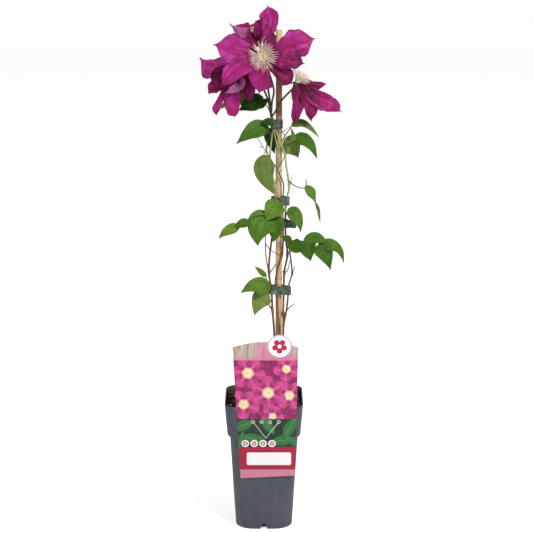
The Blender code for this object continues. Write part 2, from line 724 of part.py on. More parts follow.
def make_leaf_sprays(material):
    """Leaves on the woody stems, each spray with its own stalk that ends at the stem's bark."""
    parts = [tube([(12.2, -9.2, 440), (11, -13, 444), (12, -17, 447)], 1.0, 0.8)]
    parts.append(tube([(11.4, -13, 443), (17, -14, 456), (21, -15, 465)], 0.9, 0.7))
    parts.append(leaf((21, -15, 466), (12, -21, 456), (3, -27, 442), 29, (-0.2, -1, 0.35), fold=0.15))
    parts.append(leaf((10, -18, 447), (-6, -30, 434), (-8, -35, 410), 40, (-0.1, -1, 0.35),
                      fold=0.12, wave=0.02))
    parts.append(leaf((11.5, -17.5, 447), (15, -22, 431), (13, -25, 413), 27, (0.2, -1, 0.35), fold=0.15))
    parts.append(tube([(11, -16.4, 445), (-5, -26.5, 453), (-20, -30, 446), (-24, -31, 439)], 0.9, 0.7))
    parts.append(leaf((-20, -31, 440), (-31, -33, 440), (-41, -35, 433), 14, (-0.1, -0.9, 0.6), fold=0.2))
    parts.append(leaf((-34, -33, 435), (-49, -35, 431), (-62, -37, 420), 16, (-0.3, -0.9, 0.5), fold=0.2))
    shade(fuse("leaf_spray_left", parts, material))

    parts = [tube([(31.1, -6.1, 448), (33, -9, 452), (36, -11, 454)], 0.9, 0.8)]
    parts.append(leaf((33, -9.6, 454), (45, -13, 445), (51, -17, 425), 18, (0.2, -1, 0.4), fold=0.2))
    shade(fuse("leaf_right", parts, material))

    parts = [tube([(33.5, -5.7, 411), (38, -9, 408), (48, -12, 406), (59, -15, 405), (68, -18, 408),
                   (78, -19, 404)],
                  1.0, 0.8)]
    parts.append(leaf((37, -9, 410), (31, -13, 415), (24, -15, 419), 12, (0, -1, 0.6), fold=0.2))
    parts.append(leaf((36, -9, 409), (49, -15, 405), (64, -14, 414), 21, (0.1, -1, 0.5), fold=0.25))
    parts.append(leaf((62, -15, 409), (61, -19, 399), (65, -23, 386), 24, (-0.1, -1, 0.4), fold=0.2))
    parts.append(leaf((59, -14, 404), (72, -18, 416), (89, -18, 408), 22, (0.2, -0.8, 0.8), fold=0.25))
    parts.append(leaf((75, -19, 407), (84, -23, 396), (92, -28, 374), 26, (0.1, -1, 0.4), fold=0.2))
    parts.append(leaf((78, -18, 404), (98, -17, 404), (111, -22, 383), 20, (0.4, -0.8, 0.8), fold=0.25))
    shade(fuse("leaf_spray_right", parts, material))

    parts = [tube([(9.8, -7.7, 326), (6, -12, 332), (4, -14, 340)], 1.0, 0.8)]
    parts.append(leaf((6, -13, 341), (-11, -19, 350), (-32, -25, 341), 25, (-0.1, -1, 0.5),
                      fold=0.15, wave=0.02))
    parts.append(leaf((5, -13, 338), (-6, -19, 328), (-13, -25, 309), 28, (-0.3, -1, 0.3), fold=0.2))
    shade(fuse("leaf_pair_low", parts, material))

    parts = [tube([(7.8, -7.9, 352), (4, -11, 357), (2, -11, 363)], 0.9, 0.7)]
    parts.append(leaf((3, -10.6, 361), (-5, -12, 369), (-13, -12, 376), 10, (-0.2, -1, 0.3), fold=0.3))
    shade(fuse("leaf_left_small", parts, material))


# Way of each bloom's stalk, between its start near the first tape and the base of the bloom.
STALKS = {
    "a": [(11, -12, 604), (13, -13, 624)],
    "b": [(8, -7, 606), (4, 2, 630)],
    "c": [(6, -4, 604), (-2, 3, 622), (-16, 7, 636)],
    "d": [(15, -10, 590), (24, -9, 606)],
}

# Each bloom: its middle, the way it looks, the least and most tilt of its stamens, their number and length,
# how far their tuft is lifted clear of the sepals, and for each sepal the point half way, the tip, the way its
# inner face looks, and its widths left and right of the rib at the sepal stations. troughs gives the fold of
# the sepals that are rolled up.
BLOOMS = {
    "a": {
        "centre": (-1, -34, 668), "axis": (-0.04, -1, 0.12), "spread": (32, 74), "stamens": 31, "reach": 19,
        "lift": 0.0,
        "sepals": [
            ((-34, -41, 677), (-68, -36, 684), (-0.05, -1, 0.1), (16, 20, 19, 14, 5), (12, 17, 20.5, 14, 4)),
            ((-31, -45, 653), (-58, -46, 629), (-0.2, -1, 0.1), (12, 11, 9.5, 8.5, 5), (12, 16.5, 16, 11, 5)),
            ((-4, -43, 645), (-6, -42, 618), (0, -1, 0.2), (9, 11, 14, 17, 6), (13, 16.5, 15, 9.5, 3.5)),
            ((18, -41, 650), (37, -40, 631), (0.15, -1, 0.2), (10.5, 12.5, 12, 10.5, 6),
             (8.5, 9, 11, 12.5, 7)),
            ((28, -44, 663), (55, -38, 659), (0.15, -0.95, 0.3), (9, 13, 15, 15, 7), (9, 11, 10, 8, 3)),
            ((33, -39, 684), (70, -36, 692), (0.1, -1, 0.05), (7.5, 15.5, 17.5, 13.5, 4),
             (12, 17.5, 21, 17.5, 7)),
            ((10, -27, 684), (18, -12, 694), (0.1, -0.9, -0.4), (12, 13, 11, 8, 3), (12, 13, 11, 8, 3)),
        ],
    },
    "b": {
        "centre": (-8, 14, 685), "axis": (-0.27, 0.13, 0.94), "spread": (3, 13), "stamens": 11, "reach": 11,
        "lift": 0.8, "troughs": {1: 0.95},
        "sepals": [
            ((6, 29, 705), (4, 31, 731), (-0.2, -1, 0.2), (9, 10.5, 12, 12.5, 6.5), (11, 13.5, 14, 13, 7)),
            ((-33, 4, 688), (-43, 2, 710), (0.15, 0.2, 1), (10, 13, 14, 12, 5), (11, 16, 16, 13, 5)),
            ((-24, 26, 697), (-37, 38, 706), (0.4, -0.7, 0.7), (10, 12, 12, 9, 4), (10, 12, 12, 9, 4)),
            ((-8, 1, 697), (-11, -1, 713), (-0.1, -0.8, 0.4), (5.5, 6, 5.5, 4, 2), (6, 7.5, 7, 4.5, 2)),
            ((2, -3, 686), (10, -8, 692), (-0.2, 0.9, 0.3), (5.5, 7, 7, 4.5, 2), (5.5, 7, 7, 5, 2.5)),
            ((-6, 34, 699), (-12, 46, 710), (0, -0.8, 0.7), (9, 12, 12, 9, 4), (9, 12, 12, 9, 4)),
            ((-16, 0, 685), (-18, -9, 671), (0.05, -0.9, 0.4), (10, 13, 13, 9, 4), (10, 12, 11, 8, 4)),
        ],
    },
    "c": {
        "centre": (-34, -1, 640), "axis": (-0.4, -0.9, -0.02), "spread": (4, 34), "stamens": 14, "reach": 12,
        "lift": 0.4,
        "sepals": [
            ((-64, -6, 652), (-87, -10, 660), (-0.2, -1, -0.3), (15, 22, 23, 17, 7), (12, 15, 10, 4, 1.6)),
            ((-60, -11, 627), (-76, -15, 617), (-0.1, -0.8, 0.6), (8, 10, 10, 6.5, 3),
             (12, 13, 11, 9.5, 4.5)),
            ((-57, -14, 611), (-67, -16, 585), (-0.4, -1, 0.2), (7, 6, 5, 6, 3), (7, 5, 4.5, 5.5, 3.5)),
            ((-42, -15, 610), (-39, -17, 583), (-0.1, -1, 0.1), (10.5, 11.5, 10, 8, 6),
             (10.5, 12, 11, 9, 7.5)),
            ((-22, -9, 622), (-21, -13, 605), (0.2, -1, 0.1), (14, 12, 9, 6.5, 3.5), (9, 10, 9, 7, 4)),
            ((-56, -9, 639), (-71, -13, 629), (-0.2, -1, 0.3), (13, 15, 14, 9, 4), (13, 15, 14, 9, 4)),
            ((-35, -20, 626), (-52, -23, 619), (0.15, 0.85, 0.45), (8, 8, 7.5, 5.5, 3),
             (8, 8.5, 7.5, 5.5, 3)),
        ],
    },
    "d": {
        "centre": (43, -14, 629), "axis": (0.5, -0.3, 0.8), "spread": (8, 62), "stamens": 26, "reach": 14,
        "lift": 0.0,
        "sepals": [
            ((44, -28, 602), (39, -25, 573), (0.05, -1, 0.15), (10, 10.5, 8, 6, 3), (7, 5.5, 5.5, 4.5, 2)),
            ((60, -29, 605), (64, -28, 578), (0.1, -1, 0.2), (11, 13, 11.5, 7, 2), (9, 8.5, 7.5, 6.5, 3)),
            ((76, -25, 609), (108, -23, 593), (0.2, -1, 0.35), (10, 11, 11, 10, 6.5),
             (12, 14, 12.5, 7.5, 3.5)),
            ((66, -13, 628), (85, -9, 629), (0.1, -0.9, 0.6), (8, 6.5, 5, 4, 1.5), (11, 10.5, 8.5, 6, 2.5)),
            ((58, 8, 621), (70, 24, 600), (0.5, 0.6, 0.6), (9, 12, 11, 8, 4), (9, 12, 11, 8, 4)),
            ((50, 6, 618), (50, 20, 598), (-0.3, 0.8, 0.5), (7, 9, 9, 7, 4), (7, 9, 9, 7, 4)),
        ],
    },
}


def make_bloom(name, bloom, magenta, cream):
    """A bloom is two pieces: the coloured sepals on their base, and the cream stamens round the pistil."""
    centre, axis = Vector(bloom["centre"]), Vector(bloom["axis"]).normalized()
    parts = [bead(centre, RECEPTACLE, RECEPTACLE_SQUASH, axis, fine=2)]
    troughs = bloom.get("troughs", {})
    for i, (middle, tip, face, left, right) in enumerate(bloom["sepals"]):
        way = Vector(middle) - centre
        way = (way - axis * way.dot(axis)).normalized()
        start = centre + way * 3.2 + axis * (0.5 - 1.0 * (i % 2))
        parts.append(sepal(start, middle, tip, face, left, right, fold=troughs.get(i, SEPAL_FOLD), wave=0.03,
                           waves=1.6, phase=i * 1.7))
    shade(fuse("bloom_" + name + "_sepals", parts, magenta))
    make_stamens(name, bloom, centre, axis, cream)


def make_stamens(name, bloom, centre, axis, material):
    """Cream stamens that stand out of a small dome, with a tuft of styles in the middle."""
    rng = random.Random(3 + ord(name))
    side = axis.orthogonal().normalized()
    other = axis.cross(side)
    lift = RECEPTACLE * RECEPTACLE_SQUASH + GAP + DOME_RADIUS * DOME_SQUASH + bloom["lift"]
    middle = centre + axis * lift
    parts = [bead(middle, DOME_RADIUS, DOME_SQUASH, axis, fine=2)]
    near, far = bloom["spread"]
    count = bloom["stamens"]
    for i in range(count):
        turn = i * GOLDEN_ANGLE
        tilt = radians(near + (far - near) * ((i + 0.5) / count) ** 0.6)
        across = (side * cos(turn) + other * sin(turn)) * sin(tilt)
        way = axis * cos(tilt) + across
        reach = bloom["reach"] * rng.uniform(0.88, 1.06)
        root = middle + (axis * cos(tilt) * DOME_SQUASH + across) * (DOME_RADIUS - 1.4)
        parts.append(tube([root, root + way * reach], *STAMEN_RADII, sides=3))
    for i in range(STYLES):
        turn = 2 * pi * i / STYLES
        lean = axis + (side * cos(turn) + other * sin(turn)) * 0.25
        root = middle + axis * (DOME_RADIUS * DOME_SQUASH - 1.2) + (lean - axis) * 4.0
        parts.append(tube([root, root + lean * 8.0], 0.9, 0.7, sides=4))
    shade(fuse("bloom_" + name + "_stamens", parts, material))


def build():
    clear_scene()
    plastic = paint("pot_plastic", (0.055, 0.06, 0.075), 0.48)
    mix = paint("potting_mix", (0.035, 0.02, 0.012), 0.95)
    bamboo = paint("bamboo", (0.58, 0.4, 0.2), 0.55)
    tape = paint("tape_plastic", (0.08, 0.1, 0.085), 0.42)
    card = paint("label_card", (0.62, 0.07, 0.25), 0.25)
    wood = paint("ripe_wood", (0.17, 0.065, 0.03), 0.7)
    green = paint("leaf_green", (0.1, 0.22, 0.035), 0.5)
    magenta = paint("sepal_magenta", (0.38, 0.025, 0.18), 0.55)
    cream = paint("stamen_cream", (0.75, 0.6, 0.42), 0.6)
    make_pot(plastic)
    make_soil(mix)
    make_cane(bamboo)
    make_tapes(tape)
    make_label(card)
    make_woody_stems(wood)
    make_green_shoots(green)
    make_leaf_sprays(green)
    for name, bloom in BLOOMS.items():
        make_bloom(name, bloom, magenta, cream)


build()
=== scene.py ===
# %% [markdown]
# # A potted clematis, tied to one bamboo cane
#
# The lesson builds the looks of a flowering clematis around a fixed set of solids: a tall square pot full of
# potting mix, a bamboo cane, four tie tapes, a printed card, brown and green stems, leaves and four blooms.
# The solids are already in place, in metres, with Z up and the floor at Z = 0. Each new piece takes the place
# of one solid and keeps its form, but is rounder, thinner and more finely made.
#
# First the solids are loaded.

# %% Load the solids
import bpy
import bmesh
import math
import random
from mathutils import Matrix, Vector, noise


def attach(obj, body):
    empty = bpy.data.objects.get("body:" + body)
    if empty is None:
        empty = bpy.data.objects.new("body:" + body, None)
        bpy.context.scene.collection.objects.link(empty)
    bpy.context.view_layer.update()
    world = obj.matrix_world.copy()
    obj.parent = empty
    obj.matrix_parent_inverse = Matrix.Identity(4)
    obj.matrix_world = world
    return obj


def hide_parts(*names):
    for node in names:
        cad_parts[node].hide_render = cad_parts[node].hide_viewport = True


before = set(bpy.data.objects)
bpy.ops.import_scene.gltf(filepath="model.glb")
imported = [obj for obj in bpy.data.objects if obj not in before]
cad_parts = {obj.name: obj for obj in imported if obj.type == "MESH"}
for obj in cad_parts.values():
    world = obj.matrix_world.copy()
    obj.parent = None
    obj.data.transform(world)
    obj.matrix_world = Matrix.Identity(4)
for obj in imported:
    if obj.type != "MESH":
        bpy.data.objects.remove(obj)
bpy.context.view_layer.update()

# %% [markdown]
# ## The camera, the floor and the light
#
# A tall plant is photographed from a few steps back with a long lens, so that the pot doesn't look wider than
# the blooms. A short lens from close by would bend the cane's top towards the viewer, so a 114 mm lens at
# 2.3 m, a little higher than the plant and turned down to its middle, is the better choice.
#
# The floor is pale and plain, and it gives off a little light that only the camera sees, so that it looks
# as white as the surround behind it. The light is soft: an even surround, and two large lamps in front that
# give the petals their shape. The surround could be one plain colour, but then a white background would
# also light the plant as strongly as it looks, and the shadows between the petals would be lost. So it has
# two strengths.

# %% Camera
MM = 0.001
CAMERA_PLACE = (0.0036, -2.3, 0.895)
DEGREES_DOWN = 12.79
lens = bpy.data.cameras.new("lens")
lens.lens = 114.4
lens.sensor_width = 36.0
lens.clip_end = 60.0
camera = bpy.data.objects.new("camera", lens)
bpy.context.scene.collection.objects.link(camera)
camera.location = CAMERA_PLACE
camera.rotation_euler = (math.radians(90 - DEGREES_DOWN), 0, 0)
bpy.context.scene.camera = camera
print("camera at", tuple(camera.location))

# %% Floor
def clear_selection():
    """Leaves edit mode and selects nothing."""
    if bpy.context.object and bpy.context.object.mode != "OBJECT":
        bpy.ops.object.mode_set(mode="OBJECT")
    bpy.ops.object.select_all(action="DESELECT")


def pick(obj):
    """Makes an object the only one that is selected, and the active one."""
    clear_selection()
    obj.select_set(True)
    bpy.context.view_layer.objects.active = obj


clear_selection()
bpy.ops.mesh.primitive_plane_add(size=14.0, location=(0, 0, 0))
floor = bpy.context.object
floor.name = "floor"
FLOOR_GLOW = 0.62
floor_paint = bpy.data.materials.new("pale_floor")
floor_paint.use_nodes = True
tree = floor_paint.node_tree
matt = tree.nodes["Principled BSDF"]
matt.inputs["Base Color"].default_value = (0.93, 0.93, 0.93, 1)
matt.inputs["Roughness"].default_value = 0.8
rays = tree.nodes.new("ShaderNodeLightPath")
strength = tree.nodes.new("ShaderNodeMath")
strength.operation = "MULTIPLY"
strength.inputs[1].default_value = FLOOR_GLOW
paper_glow = tree.nodes.new("ShaderNodeEmission")
sum_of_both = tree.nodes.new("ShaderNodeAddShader")
tree.links.new(rays.outputs["Is Camera Ray"], strength.inputs[0])
tree.links.new(strength.outputs[0], paper_glow.inputs["Strength"])
tree.links.new(matt.outputs[0], sum_of_both.inputs[0])
tree.links.new(paper_glow.outputs[0], sum_of_both.inputs[1])
tree.links.new(sum_of_both.outputs[0], tree.nodes["Material Output"].inputs["Surface"])
floor.data.materials.append(floor_paint)
print("floor:", floor.name, tuple(floor.dimensions))

# %% Surround
LIGHT_GIVEN, LIGHT_SEEN = 0.36, 0.98
surround = bpy.data.worlds.new("surround")
surround.use_nodes = True
sky = surround.node_tree
rays = sky.nodes.new("ShaderNodeLightPath")
either = sky.nodes.new("ShaderNodeMixShader")
given, seen = sky.nodes["Background"], sky.nodes.new("ShaderNodeBackground")
for light, strength in ((given, LIGHT_GIVEN), (seen, LIGHT_SEEN)):
    light.inputs["Color"].default_value = (1.0, 1.0, 1.0, 1)
    light.inputs["Strength"].default_value = strength
sky.links.new(rays.outputs["Is Camera Ray"], either.inputs[0])
sky.links.new(given.outputs[0], either.inputs[1])
sky.links.new(seen.outputs[0], either.inputs[2])
sky.links.new(either.outputs[0], sky.nodes["World Output"].inputs["Surface"])
bpy.context.scene.world = surround
bpy.context.scene.view_settings.view_transform = "Standard"
print("surround lights with", LIGHT_GIVEN, "and shows as", LIGHT_SEEN)


# %% Lamps
def soft_lamp(name, place, aim, size, watts):
    """A round lamp that looks from one place at another. A larger lamp throws softer shadows."""
    light = bpy.data.lights.new(name, "AREA")
    light.shape = "DISK"
    light.size = size
    light.energy = watts
    lamp = bpy.data.objects.new(name, light)
    bpy.context.scene.collection.objects.link(lamp)
    lamp.location = place
    lamp.rotation_euler = (Vector(aim) - Vector(place)).to_track_quat("-Z", "Y").to_euler()
    return lamp


soft_lamp("key", (1.1, -1.5, 2.1), (0, 0, 0.5), 0.6, 58)
soft_lamp("fill", (-1.6, -1.6, 0.9), (0, 0, 0.4), 1.0, 12)

# %% [markdown]
# ## A small tool for finishes
#
# Every finish here is a Principled shader with a few procedural nodes in front of it: noise that is stretched
# along the grain, a colour ramp, and a bump. Wiring each by hand would repeat the same lines for every node,
# so one small class adds a node per call and hands back its output. Patterns are read from Object
# coordinates, or from the UV map where they follow a leaf or a sepal.

# %% Finish helper
class Finish:
    """A Principled material under construction. Each call adds a node and returns its output."""

    def __init__(self, name, roughness, specular=0.5, **sockets):
        self.material = bpy.data.materials.new(name)
        self.material.use_nodes = True
        self.tree = self.material.node_tree
        self.shader = self.tree.nodes["Principled BSDF"]
        self.shader.inputs["Roughness"].default_value = roughness
        self.shader.inputs["Specular IOR Level"].default_value = specular
        for socket, value in sockets.items():
            self.shader.inputs[socket.replace("_", " ")].default_value = value

    def add(self, kind, inputs=(), out=0, **settings):
        node = self.tree.nodes.new(kind)
        for key, value in settings.items():
            setattr(node, key, value)
        for socket, value in dict(inputs).items():
            if isinstance(value, bpy.types.NodeSocket):
                self.tree.links.new(value, node.inputs[socket])
            else:
                node.inputs[socket].default_value = value
        return node.outputs[out]

    def place(self):
        return self.add("ShaderNodeTexCoord", out="Object")

    def uv(self):
        return self.add("ShaderNodeUVMap", uv_map="UVMap")

    def parts(self, vector):
        """The x, y and z of a vector."""
        node = self.tree.nodes.new("ShaderNodeSeparateXYZ")
        self.tree.links.new(vector, node.inputs[0])
        return node.outputs

    def on_blade(self, u, u_scale, v, v_scale, offset=0.0):
        """A place on a leaf or sepal, from its UV map, for a pattern that follows the blade."""
        return self.add("ShaderNodeCombineXYZ", {0: self.times(u, u_scale), 1: self.times(v, v_scale),
                                                 2: offset})

    def own(self, name):
        """A number that is stored on the points of the mesh."""
        return self.add("ShaderNodeAttribute", out="Fac", attribute_name=name)

    def stretched(self, vector, scale):
        return self.add("ShaderNodeMapping", {"Vector": vector, "Scale": scale})

    def noise(self, vector, scale, detail=3.0, roughness=0.5, distortion=0.0):
        return self.add("ShaderNodeTexNoise", {"Vector": vector, "Scale": scale, "Detail": detail,
                                               "Roughness": roughness, "Distortion": distortion})

    def cells(self, vector, scale, feature="F1"):
        return self.add("ShaderNodeTexVoronoi", {"Vector": vector, "Scale": scale}, out="Distance",
                        feature=feature)

    def maths(self, operation, first, second=0.0, third=0.0):
        return self.add("ShaderNodeMath", {0: first, 1: second, 2: third}, operation=operation)

    def times(self, first, second):
        return self.maths("MULTIPLY", first, second)

    def plus(self, first, second):
        return self.maths("ADD", first, second)

    def minus(self, first, second):
        return self.maths("SUBTRACT", first, second)

    def distance(self, value, centre):
        """How far a value is from a centre, on either side."""
        return self.maths("ABSOLUTE", self.minus(value, centre))

    def weigh(self, *pairs):
        """The sum of values, each times its weight."""
        parts = [self.times(value, weight) for value, weight in pairs]
        total = parts[0]
        for part in parts[1:]:
            total = self.plus(total, part)
        return total

    def span(self, value, low, high, to_low=0.0, to_high=1.0):
        """A soft step: to_low where the value is low, to_high where it is high."""
        return self.add("ShaderNodeMapRange", {"Value": value, "From Min": low, "From Max": high,
                                               "To Min": to_low, "To Max": to_high},
                        interpolation_type="SMOOTHSTEP")

    def ramp(self, value, *stops):
        """A colour ramp. Each stop is a position and a colour."""
        made = self.add("ShaderNodeValToRGB", {"Fac": value})
        ramp = made.node.color_ramp
        while len(ramp.elements) < len(stops):
            ramp.elements.new(0.5)
        for element, (at, colour) in zip(ramp.elements, stops):
            element.position = at
            element.color = (*colour, 1.0)
        return made

    def mix(self, share, first, second):
        """The first colour, with a share of the second one over it."""
        inputs = {0: share, 6: first, 7: second}
        inputs = {k: (*v, 1.0) if isinstance(v, tuple) else v for k, v in inputs.items()}
        return self.add("ShaderNodeMix", inputs, out=2, data_type="RGBA")

    def bump(self, height, distance, strength=1.0, under=None):
        inputs = {"Height": height, "Distance": distance, "Strength": strength}
        if under:
            inputs["Normal"] = under
        return self.add("ShaderNodeBump", inputs)

    def wear(self, **sockets):
        """Joins outputs to the shader's sockets and returns the material."""
        for socket, value in sockets.items():
            self.tree.links.new(value, self.shader.inputs[socket.replace("_", " ")])
        return self.material


print("finish helper ready")

# %% [markdown]
# ## Helpers for modelling
#
# Some steps come back with every piece: apply a modifier, join parts into one object, give it its finish
# and put it in place of its solid. That puts the object's origin at the floor's middle, smooths its round
# faces and says which solid it stands for.

# %% Modelling helpers
def apply_modifier(obj, kind, **settings):
    """Adds a modifier with its settings and applies it at once."""
    pick(obj)
    modifier = obj.modifiers.new(kind.lower(), kind)
    for key, value in settings.items():
        setattr(modifier, key, value)
    bpy.ops.object.modifier_apply(modifier=modifier.name)


def join(name, parts):
    """Joins the parts into the first one and names it."""
    clear_selection()
    for part in parts:
        part.select_set(True)
    bpy.context.view_layer.objects.active = parts[0]
    if len(parts) > 1:
        bpy.ops.object.join()
    parts[0].name = name
    parts[0].data.name = name
    return parts[0]


def own_copy(obj):
    """A copy of an object, with a mesh of its own."""
    copy = obj.copy()
    copy.data = obj.data.copy()
    bpy.context.scene.collection.objects.link(copy)
    return copy


def hand_in(obj, node, degrees=60):
    """Finishes a piece. Edges sharper than the angle in degrees stay crisp."""
    pick(obj)
    bpy.ops.object.transform_apply(location=True, rotation=True, scale=True)
    bpy.ops.object.shade_smooth_by_angle(angle=math.radians(degrees))
    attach(obj, "root")
    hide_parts(node)
    print(obj.name, "stands for", node, "with", len(obj.data.polygons), "faces")
    return obj


def face_outwards():
    """Turns all faces of the mesh in edit mode outwards, and leaves edit mode."""
    bpy.ops.mesh.select_all(action="SELECT")
    bpy.ops.mesh.normals_make_consistent(inside=False)
    bpy.ops.object.mode_set(mode="OBJECT")


def coat(obj, *materials):
    """Gives an object its materials, in place of any it had."""
    obj.data.materials.clear()
    for material in materials:
        obj.data.materials.append(material)


def note(obj, **numbers):
    """Stores each number under its name on all points, where a material can read it."""
    for name, number in numbers.items():
        layer = obj.data.attributes.new(name, "FLOAT", "POINT")
        for item in layer.data:
            item.value = number


def towards(way):
    """The turn that brings the Z axis into line with a direction."""
    return Vector((0, 0, 1)).rotation_difference(Vector(way)).to_matrix().to_4x4()


def select_points(obj, test):
    """Selects the points of an object in edit mode that pass the test."""
    mesh = bmesh.from_edit_mesh(obj.data)
    for face in mesh.faces:
        face.select = False
    for edge in mesh.edges:
        edge.select = False
    for point in mesh.verts:
        point.select = test(point.co)
    mesh.select_flush(True)
    bmesh.update_edit_mesh(obj.data)


print("modelling helpers ready")

# %% [markdown]
# ## The pot
#
# A nursery pot is blown or injection moulded in thin plastic: a square cup with round corners that tapers to
# its foot, with a wider collar that fingers and carrying trays grip. It could be cut from a block, but a pot
# is one wall that runs from the floor up the outside, over the rim and down the inside. So a ring is
# extruded along that path, and after each step the new ring is set to the mould's outline at that height.
# The notches in the foot are cut afterwards, and the edges are rounded with a bevel.

# %% The mould's outline
POT_TOP = 185.0
COLLAR_FOOT = 138.0
COLLAR_HIGH = POT_TOP - COLLAR_FOOT
COLLAR_LOW_HALF, COLLAR_TOP_HALF = 51.2, 55.0
FOOT_CORNER, RIM_CORNER, CORNER_STEPS = 25.0, 17.0, 9
POT_WALL = 1.4


def mould_outline(half, corner):
    """Points of a square with round corners, and a few more beside the middle of each side."""
    points = []
    for quarter in range(4):
        turn = Matrix.Rotation(quarter * math.pi / 2, 2)
        for step in range(CORNER_STEPS + 1):
            angle = step / CORNER_STEPS * math.pi / 2
            spot = Vector((half - corner + corner * math.cos(angle),
                           half - corner + corner * math.sin(angle)))
            points.append(turn @ spot)
        for share in (0.5, 0.2, -0.2, -0.5):
            points.append(turn @ Vector(((half - corner) * share, half)))
    return points


def corner_at(z):
    """The corner's radius at a height: wide at the foot, tighter at the rim."""
    return FOOT_CORNER + (RIM_CORNER - FOOT_CORNER) * z / POT_TOP


RING_POINTS = len(mould_outline(1.0, 0.5))
print("points on a ring:", RING_POINTS)


# %% Extrude the pot's wall ring by ring
def set_ring(obj, half, corner, z):
    """Moves the selected ring to the mould's outline at one height."""
    mesh = bmesh.from_edit_mesh(obj.data)
    ring = sorted((v for v in mesh.verts if v.select), key=lambda v: v[number])
    for vert, spot in zip(ring, mould_outline(half, corner)):
        vert.co = Vector((spot.x, spot.y, z)) * MM
    bmesh.update_edit_mesh(obj.data)


# each step is a height and half the width of the wall there, in millimetres
outside = [(0.0, 38.6), (0.25, 39.4), (1.2, 40.0), (40.0, 42.26), (90.0, 45.1), (136.4, 47.7), (137.2, 48.1),
           (137.7, 49.4), (138.2, 50.6), (139.4, 51.2), (160.0, 53.0), (183.4, 54.75), (184.5, 54.8),
           (185.0, 54.3)]
inside = [(185.0, 53.7), (184.6, 53.2), (182.0, 53.0), (160.0, 51.4), (141.0, 49.9), (137.0, 46.3),
          (90.0, 43.7), (2.6, 38.6)]
clear_selection()
bpy.ops.mesh.primitive_circle_add(vertices=RING_POINTS, radius=0.04, fill_type="NGON")
pot = bpy.context.object
bpy.ops.object.mode_set(mode="EDIT")
mesh = bmesh.from_edit_mesh(pot.data)
number = mesh.verts.layers.int.new("number")
for i, vert in enumerate(sorted(mesh.verts, key=lambda v: v.index)):
    vert[number] = i
bmesh.update_edit_mesh(pot.data)
set_ring(pot, outside[0][1], corner_at(0), outside[0][0])
for z, half in outside[1:]:
    bpy.ops.mesh.extrude_region_move()
    set_ring(pot, half, corner_at(z), z)
for z, half in inside:
    bpy.ops.mesh.extrude_region_move()
    set_ring(pot, half, corner_at(z) - POT_WALL, z)
face_outwards()
print("pot wall:", len(pot.data.polygons), "faces")

# %% [markdown]
# The foot has a notch in the middle of each side so that water can run out, with a pocket of the same plastic
# behind it, and four drain holes in the floor. A tapered block gives the pocket, a smaller one cuts the
# notch, and both are booleans, which is how the real mould makes them too: a core pushed into the cavity.

# %% Notches and drain holes
NOTCH_LOW_HALF, NOTCH_TOP_HALF, NOTCH_HIGH = 5.2, 2.5, 8.0
DRAIN_PLACE, DRAIN_RADIUS = 21, 4


def foot_block(grow, low, near, deep, quarter):
    """A tapered block in the middle of one side of the foot."""
    clear_selection()
    bpy.ops.mesh.primitive_cube_add(size=1.0)
    block = bpy.context.object
    bpy.ops.object.mode_set(mode="EDIT")
    mesh = bmesh.from_edit_mesh(block.data)
    for vert in mesh.verts:
        top = vert.co.z > 0
        wide = (NOTCH_TOP_HALF if top else NOTCH_LOW_HALF) + grow
        z = NOTCH_HIGH + grow if top else low
        y = near if vert.co.y < 0 else near + deep
        vert.co = Vector((math.copysign(wide, vert.co.x), y, z)) * MM
    bmesh.update_edit_mesh(block.data)
    bpy.ops.object.mode_set(mode="OBJECT")
    block.data.transform(Matrix.Rotation(quarter * math.pi / 2, 4, "Z"))
    return block


def combine(obj, others, operation):
    """Adds other objects to one, or cuts them out of it, and removes them."""
    for other in others:
        apply_modifier(obj, "BOOLEAN", operation=operation, object=other, solver="EXACT")
        bpy.data.objects.remove(other, do_unlink=True)


combine(pot, [foot_block(1.4, 0.4, -39.4, 10.4, q) for q in range(4)], "UNION")
combine(pot, [foot_block(0.0, -1.0, -44.0, 13.0, q) for q in range(4)], "DIFFERENCE")
drains = []
for x in (-DRAIN_PLACE, DRAIN_PLACE):
    for y in (-DRAIN_PLACE, DRAIN_PLACE):
        clear_selection()
        bpy.ops.mesh.primitive_cylinder_add(vertices=24, radius=DRAIN_RADIUS * MM, depth=9 * MM,
                                            location=(x * MM, y * MM, 0.001))
        drains.append(bpy.context.object)
combine(pot, drains, "DIFFERENCE")
apply_modifier(pot, "BEVEL", width=0.3 * MM, segments=2, limit_method="ANGLE", angle_limit=math.radians(50))
print("pot with notches:", len(pot.data.polygons), "faces")

# %% [markdown]
# The plastic is a dark blue-grey polypropylene. It isn't glossy: the mould's fine grain breaks the
# reflection, and faint upright streaks show where the plastic flowed and where trays have rubbed it. Dust
# and dried compost lighten the wall a little towards the foot. Noise stretched along Z gives the streaks.

# %% Pot plastic
pp = Finish("pot_polypropylene", 0.42, 0.45)
where = pp.place()
flow = pp.noise(pp.stretched(where, (70, 70, 3)), 1.0, 3.0, 0.55)
cloud = pp.noise(where, 26.0, 4.0, 0.6)
grain = pp.noise(where, 2600.0, 2.0, 0.5)
height = pp.parts(where)[2]
colour = pp.ramp(flow, (0.3, (0.042, 0.045, 0.062)), (0.5, (0.052, 0.056, 0.076)),
                 (0.75, (0.066, 0.07, 0.094)))
dust = pp.times(pp.span(cloud, 0.45, 0.75), pp.span(height, 0.16, 0.0))
colour = pp.mix(pp.times(dust, 0.35), colour, (0.12, 0.115, 0.115))
shine = pp.plus(pp.span(cloud, 0.3, 0.7, 0.36, 0.5), pp.times(dust, 0.2))
relief = pp.bump(grain, 0.00006, 0.5, pp.bump(flow, 0.00025, 0.35))
coat(pot, pp.wear(Base_Color=colour, Roughness=shine, Normal=relief))
pot.name = "pot_wall"
hand_in(pot, "pot", 40)

